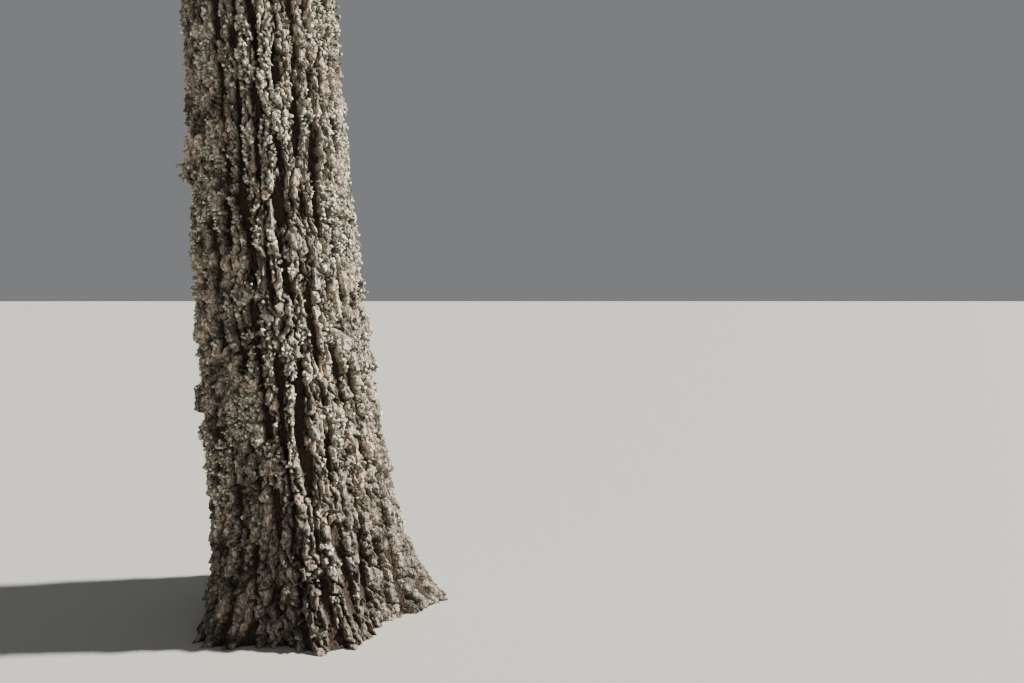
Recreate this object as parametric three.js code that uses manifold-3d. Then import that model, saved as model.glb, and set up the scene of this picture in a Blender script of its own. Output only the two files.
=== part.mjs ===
// A mature Scots pine grown among others: one tall stem with a swollen butt, dead snags under the
// crown, boughs in loose whorls, and a mass of needle sprays at the end of each bough.
// Millimetres, +Z up. The origin is the middle of the flat cut at ground level.

import * as THREE from "three";
import { mergeVertices } from "three/addons/utils/BufferGeometryUtils.js";
import Module from "manifold-3d";

const wasm = await Module();
wasm.setup();

const degrees = THREE.MathUtils.degToRad;
const mix = THREE.MathUtils.lerp;
const UP = new THREE.Vector3(0, 0, 1);

// Driving dimensions of the whole tree
const TREE_HEIGHT = 20000;
const TRUNK_HEIGHT = 18900; // the leader's last shoots belong to the top mass
const LOWEST_WHORL = 11300;
const HIGHEST_WHORL = 18350;
const CROWN_RADIUS = 3000;
const CLEARANCE = 0.3; // between two pieces that touch

// The trunk: a tapering stem, a long swelling of the butt and a short flare of the roots
const STEM_RADIUS = 190;
const TAPER_POWER = 0.62;
const BUTT_SWELL = 96;
const BUTT_HEIGHT = 1630;
const BUTT_LOBING = 0.12; // of the swelling
const ROOT_FLARE = 50;
const ROOT_HEIGHT = 110;
const ROOT_LOBING = 0.63; // of the flare
const ROOT_LOBES = 5;
const ROOT_LOBE_TURN = degrees(-10);
const BROAD_LOBES = 3; // slower lobes that make the even ones uneven
const BROAD_LOBE_TURN = degrees(-10);
const BROAD_LOBE_SHARE = 0.5;
const TRUNK_SIDES = 24;
const TRUNK_RINGS = 22;
const RING_CROWDING = 1.5; // above 1, rings crowd towards the ground

// The trunk sweeps out of the ground, leans over a few metres and then comes upright, with a slow
// wander above
const SWEEP = 50;
const SWEEP_SETTLES = 600;
const LEAN = 222;
const LEAN_SETTLES = 3000;
const WANDER = 70;
const WANDER_LENGTH = 9000;
const WANDER_STARTS = 5000;
const WANDER_CROSS_RATE = 1.37; // to and from the eye, against left and right
const WANDER_CROSS_TURN = degrees(63);

// Boughs, in whorls from the lowest to the highest
const WHORL_SIZES = [2, 3, 3, 4, 3, 4, 3, 3];
const WHORL_TURN = degrees(152);
const BOUGH_SPREAD = 0.24; // of the even angle between two boughs
const BOUGH_STEP = 330; // most that a bough sits above or below its whorl
const HIGH_STEP_SHARE = 0.4; // of that, in the highest whorl
const STEP_SPREAD = 0.25;
const REACH_START = 0.24; // where the lowest bough lies on the half sine of the crown's outline
const REACH_SPAN = 0.6;
const REACH_POWER = 0.85;
const REACH_SHARE = 0.9; // of the outline, for a bough of middling length
const REACH_SPREAD = 0.15;
const LOW_BARE_SHARE = 0.43; // of the reach, where a low bough ends and its mass begins
const HIGH_BARE_SHARE = 0.3;
const LOW_SLOPE = -0.06;
const HIGH_SLOPE = 0.66;
const SLOPE_POWER = 1.4;
const SLOPE_SPREAD = 0.1;
const BOUGH_CURL = 0.16;
const BOUGH_SWAY = 0.05;
const BOUGH_SIDES = 5;
const BOUGH_RINGS = 3;
const BOUGH_BASE_RADIUS = 11;
const BOUGH_RADIUS_PER_REACH = 0.0088;
const BOUGH_TIP_RADIUS = 8;
const COLLAR = 0.5; // of the bough's radius, where it leaves the trunk
const COLLAR_LENGTH = 130;

// Masses: each keeps to an ellipsoid round the outer part of its bough
const MASS_LENGTH = 0.56; // half, of the way from the bough's end to the mass's tip
const MASS_WIDTH = 0.42; // half, of the reach
const MASS_DEPTH = 0.16; // half, of the reach
const MASS_LEAST_DEPTH = 270;
const MASS_LIFT = 0.05; // of the reach, since shoots turn up
const SHARED_MARGIN = 0.05; // between the spaces of two masses, in their own half-widths
const STEM_SHARE = 0.9; // of the reach, where the mass's stem ends
const STEM_TIP_RADIUS = 16;
const STEM_BACK = -0.03; // where the stem starts before it is cut square
const STEM_SIDES = 4;
const STEM_RINGS = 3;
const TWIGS_PER_MASS = 5;
const TWIG_ANGLE = degrees(54);
const TWIG_TURN = degrees(137.5);
const TWIG_TURN_SPREAD = degrees(29);
const TWIG_PLACE_SPREAD = 0.3; // of the step between two twigs
const TWIG_FLATTENING = 0.55;
const TWIG_LIFT = 0.16;
const TWIG_RADIUS = 11;
const TWIG_SIDES = 3;
const TWIG_IN_SPRAY = 0.12; // of the spray's length, how far its twig runs on inside it
const SPACE_USED = 0.97; // of the way from the stem to the edge of the mass's space

// The top mass, round the leader
const TOP_TWIGS = 9;
const TOP_SPRAY = 520;
const TOP_HALF_WIDTH = 700;
const TOP_HALF_HEIGHT = 720;

// Sprays of needles: a slim core with needles that stand out of it, as shares of its length
const SPRAY_LENGTH = 680;
const FULL_SPRAY_REACH = 2200; // shorter boughs have smaller sprays
const SPRAY_NEEDLES = 4;
const NEEDLE_REACH = 0.42;
const LONG_NEEDLE_HEIGHT = 0.92;
const SHORT_NEEDLE_HEIGHT = 0.66;
const CORE_RADIUS = 0.12;
const CORE_HEIGHT = 0.3;
const SPRAY_SUNK = 0.12; // behind the twig's end
const SPRAY_MIDDLE = 0.72; // where it is widest
const SPRAY_GIRTH = 0.3;
const SPRAY_APART = 0.36; // least distance of two middles, of their lengths added up
const SPRAY_SIZES = [1, 0.82, 0.66]; // tried in turn
const SPRAY_SIZE_SPREAD = 0.15;
const SPRAY_LIFT = 0.3; // shoots turn up to the light
const SIDE_SPRAY_ANGLE = degrees(56);
const SIDE_SPRAY_STEP = 0.6; // of the spray's length, back along the twig
const SIDE_SPRAY_SIZE = 0.85;
const UPRIGHT_SPRAYS = 2;

// Dead snags on the bare trunk
const SNAG_COUNT = 7;
const LOWEST_SNAG = 6200;
const HIGHEST_SNAG = 11000;
const SNAG_PLACE_SPREAD = 0.3; // of the step between two snags
const SNAG_TURN_SPREAD = degrees(34);
const SNAG_LENGTH = 1250;
const SNAG_SHORTEST = 0.45; // of that length
const SNAG_RADIUS = 19;
const SNAG_TIP_RADIUS = 5;
const SNAG_SLOPE = -0.12;
const SNAG_CURL = 0.14;
const SNAG_BOW = 0.12;
const SNAG_SIDES = 5;
const SNAG_RINGS = 4;

// Seeds, so that each bough, mass and snag has numbers of its own
const BOUGH_SEED = 100;
const MASS_SEED = 7000;
const TOP_SEED = 99;
const SNAG_SEED = 500;

const barkFinish = { color: 0x6b5f56, roughness: 0.95, metalness: 0 };
const boughFinish = { color: 0x9a6a4a, roughness: 0.9, metalness: 0 };
const snagFinish = { color: 0x85807a, roughness: 0.95, metalness: 0 };
const needleFinish = { color: 0x5d6b32, roughness: 0.8, metalness: 0 };

// Random numbers from 0 to 1 that are the same on every run: a linear congruential generator.
function seeded(seed) {
  const scatter = 2654435761;
  const factor = 1664525;
  const added = 1013904223;
  const states = 2 ** 32;
  let state = Math.imul(seed, scatter) >>> 0;
  return () => {
    state = (Math.imul(state, factor) + added) >>> 0;
    return state / states;
  };
}

// From -1 to 1.
const eitherWay = (random) => 2 * random() - 1;

// A closed geometry as a solid that can be joined and cut.
function solidFrom(geometry) {
  const bare = geometry.clone();
  bare.deleteAttribute("normal");
  bare.deleteAttribute("uv");
  const merged = mergeVertices(bare);
  return new wasm.Manifold(
    new wasm.Mesh({
      numProp: 3,
      vertProperties: merged.getAttribute("position").array,
      triVerts: new Uint32Array(merged.index.array),
    }),
  );
}

// The one outer body of a joined solid: scraps are dropped and sealed hollows are filled.
function outerBody(solid) {
  return solid.decompose().reduce((a, b) => (b.volume() > a.volume() ? b : a));
}

// A named mesh that stands at its anchor, with its geometry round its own origin.
function meshAt(name, solid, anchor, finish) {
  const { vertProperties, triVerts } = solid.getMesh();
  const geometry = new THREE.BufferGeometry();
  geometry.setAttribute("position", new THREE.BufferAttribute(vertProperties, 3));
  geometry.setIndex(new THREE.BufferAttribute(triVerts, 1));
  geometry.translate(-anchor.x, -anchor.y, -anchor.z);
  geometry.computeVertexNormals();
  const mesh = new THREE.Mesh(geometry, new THREE.MeshStandardMaterial(finish));
  mesh.name = name;
  mesh.position.copy(anchor);
  return mesh;
}

// A smooth path through a function's points from share 0 to share 1.
function pathThrough(pointAt) {
  const count = 5;
  return new THREE.CatmullRomCurve3(
    Array.from({ length: count + 1 }, (_, i) => pointAt(i / count)),
  );
}

// Bends a unit cylinder along a path. radiusAt takes the share of the way along.
function limbGeometry(path, radiusAt, sides, rings) {
  const geometry = new THREE.CylinderGeometry(1, 1, 1, sides, rings);
  const frames = path.computeFrenetFrames(rings);
  const position = geometry.getAttribute("position");
  for (let i = 0; i < position.count; i++) {
    const share = position.getY(i) + 0.5;
    const ring = Math.round(share * rings);
    const radius = radiusAt(share);
    const point = path
      .getPointAt(share)
      .addScaledVector(frames.binormals[ring], position.getX(i) * radius)
      .addScaledVector(frames.normals[ring], position.getZ(i) * radius);
    position.setXYZ(i, point.x, point.y, point.z);
  }
  return geometry;
}

// The middle of the trunk at a height.
function trunkAxis(z) {
  const wander = WANDER * Math.min(1, z / WANDER_STARTS) ** 2;
  const turn = (2 * Math.PI * z) / WANDER_LENGTH;
  const sweep = SWEEP * (1 - Math.exp(-z / SWEEP_SETTLES));
  const lean = LEAN * (1 - Math.exp(-z / LEAN_SETTLES));
  return new THREE.Vector3(
    -sweep - lean + wander * Math.sin(turn),
    wander * Math.sin(WANDER_CROSS_RATE * turn + WANDER_CROSS_TURN),
    z,
  );
}

// The trunk's radius at a height, on the side that an angle from +X gives.
function trunkRadius(z, angle) {
  const stem = STEM_RADIUS * (1 - z / TREE_HEIGHT) ** TAPER_POWER;
  const butt = BUTT_SWELL * Math.exp(-z / BUTT_HEIGHT);
  const roots = ROOT_FLARE * Math.exp(-z / ROOT_HEIGHT);
  const evenLobes = Math.cos(ROOT_LOBES * (angle - ROOT_LOBE_TURN));
  const broadLobes = Math.cos(BROAD_LOBES * (angle - BROAD_LOBE_TURN));
  const lobes = evenLobes + BROAD_LOBE_SHARE * broadLobes;
  return stem + butt * (1 + BUTT_LOBING * lobes) + roots * (1 + ROOT_LOBING * lobes);
}

// The trunk, or with a clearance the space that its neighbours keep out of.
function trunkSolid(clearance) {
  const geometry = new THREE.CylinderGeometry(1, 1, 1, TRUNK_SIDES, TRUNK_RINGS);
  const position = geometry.getAttribute("position");
  for (let i = 0; i < position.count; i++) {
    const z = TRUNK_HEIGHT * (position.getY(i) + 0.5) ** RING_CROWDING;
    const x = position.getX(i);
    const y = -position.getZ(i);
    const angle = Math.atan2(y, x);
    const radius = Math.hypot(x, y) * (trunkRadius(z, angle) + clearance);
    const middle = trunkAxis(z);
    const top = z === TRUNK_HEIGHT ? clearance : 0;
    position.setXYZ(
      i,
      middle.x + radius * Math.cos(angle),
      middle.y + radius * Math.sin(angle),
      z + top,
    );
  }
  return solidFrom(geometry);
}

// How far boughs reach at a share of the way up the crown: widest below its middle.
function reachAt(share) {
  const outline = Math.sin(Math.PI * (REACH_START + REACH_SPAN * share));
  return CROWN_RADIUS * outline ** REACH_POWER;
}

// Every bough with its size, its path and the space of its mass. The boughs of a whorl step up
// round the trunk, one way in even whorls and the other way in odd ones.
function planBoughs() {
  const boughs = [];
  WHORL_SIZES.forEach((size, whorl) => {
    const share = whorl / (WHORL_SIZES.length - 1);
    for (let k = 0; k < size; k++) {
      const seed = BOUGH_SEED + boughs.length;
      const random = seeded(seed);
      const even = (2 * Math.PI) / size;
      const azimuth = whorl * WHORL_TURN + even * (k + BOUGH_SPREAD * eitherWay(random));
      const spiral = (whorl % 2 ? -1 : 1) * ((2 * k + 1) / size - 1);
      const stepSize = BOUGH_STEP * mix(1, HIGH_STEP_SHARE, share);
      const step = stepSize * (spiral + STEP_SPREAD * eitherWay(random));
      const root = trunkAxis(mix(LOWEST_WHORL, HIGHEST_WHORL, share) + step);
      const reach = reachAt(share) * (REACH_SHARE + REACH_SPREAD * eitherWay(random));
      const usualSlope = mix(LOW_SLOPE, HIGH_SLOPE, share ** SLOPE_POWER);
      const slope = usualSlope + SLOPE_SPREAD * eitherWay(random);
      const sway = BOUGH_SWAY * eitherWay(random);
      const bare = mix(LOW_BARE_SHARE, HIGH_BARE_SHARE, share);
      boughs.push(planBough({ seed, root, azimuth, reach, slope, sway, bare }));
    }
  });
  return boughs;
}

// The path, the thickness and the mass's space of one bough. The path runs on past the bough's end
// to the tip of its mass, at share 1.
function planBough({ seed, root, azimuth, reach, slope, sway, bare }) {
  const out = new THREE.Vector3(Math.cos(azimuth), Math.sin(azimuth), 0);
  const side = new THREE.Vector3(-out.y, out.x, 0);
  const pointAt = (share) =>
    root
      .clone()
      .addScaledVector(out, reach * share)
      .addScaledVector(side, reach * sway * Math.sin(Math.PI * share))
      .addScaledVector(UP, reach * (slope * share + BOUGH_CURL * share * share));
  const start = pointAt(bare);
  const along = pointAt(1).sub(start);
  const forward = along.clone().normalize();
  const across = new THREE.Vector3().crossVectors(UP, forward).normalize();
  const space = {
    centre: start.clone().addScaledVector(along, 0.5).addScaledVector(UP, MASS_LIFT * reach),
    axes: [forward, across, new THREE.Vector3().crossVectors(forward, across)],
    halves: [
      MASS_LENGTH * along.length(),
      MASS_WIDTH * reach,
      Math.max(MASS_LEAST_DEPTH, MASS_DEPTH * reach),
    ],
  };
  const baseRadius = BOUGH_BASE_RADIUS + BOUGH_RADIUS_PER_REACH * reach;
  const radiusAt = (share) => {
    const collar = 1 + COLLAR * Math.exp((-share * reach) / COLLAR_LENGTH);
    return mix(baseRadius, BOUGH_TIP_RADIUS, share / STEM_SHARE) * collar;
  };
  return { seed, root, reach, bare, pointAt, radiusAt, across, space };
}

// The dead snags, turning round the trunk as they climb.
function planSnags() {
  return Array.from({ length: SNAG_COUNT }, (_, i) => {
    const random = seeded(SNAG_SEED + i);
    const share = (i + SNAG_PLACE_SPREAD * random()) / SNAG_COUNT;
    const root = trunkAxis(mix(LOWEST_SNAG, HIGHEST_SNAG, share));
    const azimuth = i * TWIG_TURN + SNAG_TURN_SPREAD * eitherWay(random);
    const length = SNAG_LENGTH * mix(SNAG_SHORTEST, 1, random());
    const bow = SNAG_BOW * eitherWay(random);
    const out = new THREE.Vector3(Math.cos(azimuth), Math.sin(azimuth), 0);
    const side = new THREE.Vector3(-out.y, out.x, 0);
    const pointAt = (along) =>
      root
        .clone()
        .addScaledVector(out, length * along)
        .addScaledVector(side, length * bow * Math.sin(Math.PI * along))
        .addScaledVector(UP, length * (SNAG_SLOPE * along + SNAG_CURL * along * along));
    return { root, pointAt };
  });
}

// How far out a point is in a mass's space: 0 at its middle, 1 at its edge.
function depthIn(space, point) {
  const away = point.clone().sub(space.centre);
  return Math.hypot(...space.axes.map((axis, i) => away.dot(axis) / space.halves[i]));
}

// The distance from a point to the edge of a space, in a direction of length 1.
function distanceToEdge(space, point, direction) {
  const away = point.clone().sub(space.centre);
  const scaled = (vector) =>
    new THREE.Vector3(...space.axes.map((axis, i) => vector.dot(axis) / space.halves[i]));
  const p = scaled(away);
  const d = scaled(direction);
  const a = d.dot(d);
  const b = p.dot(d);
  const c = p.dot(p) - 1;
  return (-b + Math.sqrt(Math.max(0, b * b - a * c))) / a;
}

// True if every point lies in the space and further out in every other space.
function staysIn(space, others, points) {
  return points.every((point) => {
    const own = depthIn(space, point);
    return own < 1 && others.every((other) => depthIn(other, point) > own + SHARED_MARGIN);
  });
}

// A limb as balls along it, for the test below.
function ballsAlong(pointAt, radiusAt, length) {
  const spacing = 120;
  const count = Math.ceil(length / spacing);
  return Array.from({ length: count + 1 }, (_, i) => ({
    point: pointAt(i / count),
    radius: radiusAt(i / count),
  }));
}

// True if a stretch with a radius keeps clear of every ball.
function clearOf(balls, from, to, radius) {
  const line = new THREE.Line3(from, to);
  const nearest = new THREE.Vector3();
  return balls.every((ball) => {
    line.closestPointToPoint(ball.point, true, nearest);
    return nearest.distanceTo(ball.point) > radius + ball.radius;
  });
}

// The twigs and sprays of one mass, as plain places and sizes, grown by the seeded rule: twigs turn
// round the stem, each with a spray at its end and side sprays back along it, and a few sprays
// stand up on the stem itself.
function growMass({ seed, space, stemAt, across, twigCount, sprayLength }, crown) {
  const random = seeded(MASS_SEED + seed);
  const others = crown.spaces.filter((other) => other !== space);
  const twigs = [];
  const sprays = [];

  // The way that the stem runs at a share of it.
  function stemDirection(share) {
    const step = 0.05;
    return stemAt(share + step).sub(stemAt(share - step)).normalize();
  }

  // Adds a spray, at full size or smaller, where it keeps to the space, off the limbs and apart
  // from the mass's other sprays.
  function addSpray(at, direction, fullSize, sunk) {
    const turn = 2 * Math.PI * random();
    const flank = new THREE.Vector3().crossVectors(direction, UP).normalize();
    for (const share of SPRAY_SIZES) {
      const size = share * fullSize;
      const from = at.clone().addScaledVector(direction, -sunk * size);
      const tip = from.clone().addScaledVector(direction, size);
      const middle = from.clone().addScaledVector(direction, SPRAY_MIDDLE * size);
      const rim = [flank, flank.clone().negate(), UP].map((way) =>
        middle.clone().addScaledVector(way, SPRAY_GIRTH * size),
      );
      const apart = (other) =>
        other.middle.distanceTo(middle) > SPRAY_APART * (size + other.size);
      if (
        staysIn(space, others, [tip, ...rim]) &&
        clearOf(crown.balls, middle, tip, SPRAY_GIRTH * size) &&
        sprays.every(apart)
      ) {
        sprays.push({ from, middle, direction, size, turn });
        return true;
      }
    }
    return false;
  }

  addSpray(stemAt(1), stemDirection(1), sprayLength, SPRAY_SUNK);
  for (let k = 0; k < twigCount; k++) {
    const share = 1 - (k + 0.5 + TWIG_PLACE_SPREAD * eitherWay(random)) / twigCount;
    const base = stemAt(share);
    const forward = stemDirection(share);
    const up = new THREE.Vector3().crossVectors(forward, across);
    const turn = seed + k * TWIG_TURN + TWIG_TURN_SPREAD * eitherWay(random);
    const direction = forward
      .multiplyScalar(Math.cos(TWIG_ANGLE))
      .addScaledVector(across, Math.sin(TWIG_ANGLE) * Math.cos(turn))
      .addScaledVector(up, Math.sin(TWIG_ANGLE) * TWIG_FLATTENING * Math.sin(turn))
      .addScaledVector(UP, TWIG_LIFT)
      .normalize();
    const room = SPACE_USED * distanceToEdge(space, base, direction);
    const size = Math.min(sprayLength, room) * (1 - SPRAY_SIZE_SPREAD * random());
    const reach = Math.max(0, room - (1 - SPRAY_SUNK) * size);
    const tip = base.clone().addScaledVector(direction, reach);
    const turned = direction.clone().addScaledVector(UP, SPRAY_LIFT).normalize();
    if (!addSpray(tip, turned, size, SPRAY_SUNK)) {
      continue;
    }
    twigs.push({ from: base, to: tip.clone().addScaledVector(turned, TWIG_IN_SPRAY * size) });
    const flank = new THREE.Vector3().crossVectors(UP, direction).normalize();
    const step = SIDE_SPRAY_STEP * size;
    for (let back = step; back < reach; back += step) {
      for (const way of [-1, 1]) {
        const bent = direction
          .clone()
          .multiplyScalar(Math.cos(SIDE_SPRAY_ANGLE))
          .addScaledVector(flank, way * Math.sin(SIDE_SPRAY_ANGLE))
          .addScaledVector(UP, SPRAY_LIFT)
          .normalize();
        const on = tip.clone().addScaledVector(direction, -back);
        addSpray(on, bent, SIDE_SPRAY_SIZE * size, 0);
      }
    }
  }
  for (let k = 0; k < UPRIGHT_SPRAYS; k++) {
    const share = (k + 0.5) / UPRIGHT_SPRAYS;
    const upright = stemDirection(share).add(UP).normalize();
    addSpray(stemAt(share), upright, SIDE_SPRAY_SIZE * sprayLength, 0);
  }
  return { twigs, sprays };
}

// A spray: a spindle whose middle ring stands out in needles, every other one further forward.
function sprayGeometry({ from, direction, size, turn }) {
  const sides = 2 * SPRAY_NEEDLES;
  const geometry = new THREE.CylinderGeometry(0, 0, 1, sides, 2);
  const facing = new THREE.Quaternion().setFromUnitVectors(new THREE.Vector3(0, 1, 0), direction);
  const position = geometry.getAttribute("position");
  const uv = geometry.getAttribute("uv");
  const point = new THREE.Vector3();
  for (let i = 0; i < position.count; i++) {
    const step = Math.round(uv.getX(i) * sides) % sides;
    const angle = turn + (2 * Math.PI * step) / sides;
    const isNeedle = step % 2 === 1;
    const needleHeight = step % 4 === 1 ? LONG_NEEDLE_HEIGHT : SHORT_NEEDLE_HEIGHT;
    const onRing = position.getY(i) === 0;
    const ringRadius = isNeedle ? NEEDLE_REACH : CORE_RADIUS;
    const ringHeight = isNeedle ? needleHeight : CORE_HEIGHT;
    const radius = onRing ? ringRadius : 0;
    const height = onRing ? ringHeight : position.getY(i) + 0.5;
    point.set(radius * Math.sin(angle), height, radius * Math.cos(angle));
    point.multiplyScalar(size).applyQuaternion(facing).add(from);
    position.setXYZ(i, point.x, point.y, point.z);
  }
  return geometry;
}

// Fuses a mass: a stem of four sides, its twigs and its sprays. The stem is cut square, a clearance
// beyond the tip that it grows on from.
function massSolid(plan, stemAt, stemRadius, tip, tipDirection) {
  const path = pathThrough((share) => stemAt(mix(STEM_BACK, 1, share)));
  const stemTaper = (share) => mix(stemRadius, STEM_TIP_RADIUS, share);
  const stem = solidFrom(limbGeometry(path, stemTaper, STEM_SIDES, STEM_RINGS)).trimByPlane(
    tipDirection.toArray(),
    tipDirection.dot(tip) + CLEARANCE,
  );
  const twigs = plan.twigs.map(({ from, to }) =>
    solidFrom(limbGeometry(new THREE.LineCurve3(from, to), () => TWIG_RADIUS, TWIG_SIDES, 1)),
  );
  const sprays = plan.sprays.map((spray) => solidFrom(sprayGeometry(spray)));
  return outerBody(wasm.Manifold.union([stem, ...twigs, ...sprays]));
}

// The path of a bough's own solid, from the middle of the trunk to its end.
function boughPath(bough) {
  return pathThrough((share) => bough.pointAt(share * bough.bare));
}

// A bough, cut where it leaves the trunk.
function boughSolid(bough, trunkSpace) {
  const radiusAt = (share) => bough.radiusAt(share * bough.bare);
  const whole = solidFrom(limbGeometry(boughPath(bough), radiusAt, BOUGH_SIDES, BOUGH_RINGS));
  return outerBody(whole.subtract(trunkSpace));
}

// A snag, cut where it leaves the trunk.
function snagSolid(snag, trunkSpace) {
  const radiusAt = (share) => mix(SNAG_RADIUS, SNAG_TIP_RADIUS, share);
  const path = pathThrough(snag.pointAt);
  const whole = solidFrom(limbGeometry(path, radiusAt, SNAG_SIDES, SNAG_RINGS));
  return outerBody(whole.subtract(trunkSpace));
}

// The mass that grows on from the end of a bough.
function boughMass(bough, crown) {
  const stemAt = (share) => bough.pointAt(mix(bough.bare, STEM_SHARE, share));
  const plan = growMass(
    {
      seed: bough.seed,
      space: bough.space,
      stemAt,
      across: bough.across,
      twigCount: TWIGS_PER_MASS,
      sprayLength: SPRAY_LENGTH * Math.min(1, bough.reach / FULL_SPRAY_REACH),
    },
    crown,
  );
  const tipDirection = boughPath(bough).getTangentAt(1);
  return massSolid(plan, stemAt, bough.radiusAt(bough.bare), stemAt(0), tipDirection);
}

// The mass that grows straight on from the trunk's tip.
function topMass(space, crown) {
  const stemAt = (share) => trunkAxis(mix(TRUNK_HEIGHT, TREE_HEIGHT - TOP_SPRAY, share));
  const plan = growMass(
    {
      seed: TOP_SEED,
      space,
      stemAt,
      across: new THREE.Vector3(1, 0, 0),
      twigCount: TOP_TWIGS,
      sprayLength: TOP_SPRAY,
    },
    crown,
  );
  return massSolid(plan, stemAt, trunkRadius(TRUNK_HEIGHT, 0), stemAt(0), UP);
}

const tree = new THREE.Group();
const twoDigits = (n) => String(n).padStart(2, "0");
const trunkSpace = trunkSolid(CLEARANCE);
const boughs = planBoughs();
const snags = planSnags();
const topSpace = {
  centre: trunkAxis(TREE_HEIGHT - TOP_HALF_HEIGHT),
  axes: [new THREE.Vector3(1, 0, 0), new THREE.Vector3(0, 1, 0), UP],
  halves: [TOP_HALF_WIDTH, TOP_HALF_WIDTH, TOP_HALF_HEIGHT],
};
const trunkBalls = ballsAlong(
  (share) => trunkAxis(share * TRUNK_HEIGHT),
  (share) => trunkRadius(share * TRUNK_HEIGHT, 0),
  TRUNK_HEIGHT,
);
const boughBalls = boughs.map((bough) =>
  ballsAlong(
    (share) => bough.pointAt(share * bough.bare),
    (share) => bough.radiusAt(share * bough.bare),
    bough.reach * bough.bare,
  ),
);
const crown = {
  spaces: [...boughs.map((bough) => bough.space), topSpace],
  balls: [...boughBalls.flat(), ...trunkBalls],
};

tree.add(meshAt("trunk", trunkSolid(0), new THREE.Vector3(), barkFinish));
boughs.forEach((bough, i) => {
  const number = twoDigits(i + 1);
  tree.add(meshAt("bough_" + number, boughSolid(bough, trunkSpace), bough.root, boughFinish));
  const massStart = bough.pointAt(bough.bare);
  tree.add(meshAt("foliage_" + number, boughMass(bough, crown), massStart, needleFinish));
});
tree.add(meshAt("foliage_top", topMass(topSpace, crown), trunkAxis(TRUNK_HEIGHT), needleFinish));
snags.forEach((snag, i) => {
  tree.add(meshAt("snag_" + (i + 1), snagSolid(snag, trunkSpace), snag.root, snagFinish));
});

export default tree;
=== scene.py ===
# %% [markdown]
# # A Scots pine, dressed from its plain solids
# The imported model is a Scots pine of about 20 m in plain solids: a trunk, 25 boughs, 7 dead snags and
# 26 masses of foliage. This notebook gives it what the eye looks for: deep bark plates with lichen low
# down, thin orange bark higher up, and some three hundred thousand needles on real shoots. The solids
# stay as the frame that everything is measured from. All lengths are in metres.

# %% Open the frame
from functools import partial
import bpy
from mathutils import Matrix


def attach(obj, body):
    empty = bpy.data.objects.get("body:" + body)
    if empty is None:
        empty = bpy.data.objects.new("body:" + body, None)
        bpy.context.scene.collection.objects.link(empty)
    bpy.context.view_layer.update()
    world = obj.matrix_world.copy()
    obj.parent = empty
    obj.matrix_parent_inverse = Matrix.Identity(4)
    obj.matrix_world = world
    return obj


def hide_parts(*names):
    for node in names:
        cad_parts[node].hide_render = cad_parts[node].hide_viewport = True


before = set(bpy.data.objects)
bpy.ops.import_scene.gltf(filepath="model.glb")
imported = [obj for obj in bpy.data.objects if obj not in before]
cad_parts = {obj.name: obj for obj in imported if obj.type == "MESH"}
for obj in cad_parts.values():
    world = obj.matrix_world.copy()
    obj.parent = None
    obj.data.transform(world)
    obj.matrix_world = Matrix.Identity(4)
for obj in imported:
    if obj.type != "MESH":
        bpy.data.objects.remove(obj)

from types import SimpleNamespace

import bpy
import numpy as np
from mathutils import Euler, Vector

UP = np.array([0.0, 0.0, 1.0])
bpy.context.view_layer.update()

# %% [markdown]
# ## The tree's own numbers
# A good stand-in and its fine version share one set of numbers. These are the sizes of the solids'
# source, in metres and radians, so that every twig below starts on the limb that the solids have.

# %% Sizes of the trunk
TREE_HEIGHT, TRUNK_HEIGHT = 20.0, 18.9
LOWEST_WHORL, HIGHEST_WHORL = 11.3, 18.35
STEM_RADIUS, TAPER_POWER = 0.190, 0.62
BUTT_SWELL, BUTT_HEIGHT, BUTT_LOBING = 0.096, 1.63, 0.12
ROOT_FLARE, ROOT_HEIGHT, ROOT_LOBING, ROOT_LOBES = 0.050, 0.110, 0.63, 5
BROAD_LOBES, BROAD_LOBE_SHARE = 3, 0.5
LOBE_TURN = np.radians(-10)
SWEEP, SWEEP_SETTLES = 0.05, 0.6
LEAN, LEAN_SETTLES = 0.222, 3.0
WANDER, WANDER_LENGTH, WANDER_STARTS = 0.07, 9.0, 5.0
WANDER_CROSS_RATE, WANDER_CROSS_TURN = 1.37, np.radians(63)

# %% Sizes of the boughs and snags
CROWN_RADIUS = 3.0
WHORL_SIZES = [2, 3, 3, 4, 3, 4, 3, 3]
WHORL_TURN = np.radians(152)
BOUGH_SPREAD, BOUGH_STEP, HIGH_STEP_SHARE, STEP_SPREAD = 0.24, 0.33, 0.4, 0.25
REACH_START, REACH_SPAN, REACH_POWER = 0.24, 0.6, 0.85
REACH_SHARE, REACH_SPREAD = 0.9, 0.15
LOW_BARE_SHARE, HIGH_BARE_SHARE = 0.43, 0.3
LOW_SLOPE, HIGH_SLOPE, SLOPE_POWER, SLOPE_SPREAD = -0.06, 0.66, 1.4, 0.1
BOUGH_CURL, BOUGH_SWAY = 0.16, 0.05
BOUGH_BASE_RADIUS, BOUGH_RADIUS_PER_REACH, BOUGH_TIP_RADIUS = 0.011, 0.0088, 0.008
COLLAR, COLLAR_LENGTH = 0.5, 0.13
SNAG_COUNT, LOWEST_SNAG, HIGHEST_SNAG = 7, 6.2, 11.0
SNAG_PLACE_SPREAD, SNAG_TURN_SPREAD = 0.3, np.radians(34)
SNAG_LENGTH, SNAG_SHORTEST, SNAG_RADIUS, SNAG_TIP_RADIUS = 1.25, 0.45, 0.019, 0.005
SNAG_SLOPE, SNAG_CURL, SNAG_BOW = -0.12, 0.14, 0.12

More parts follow.
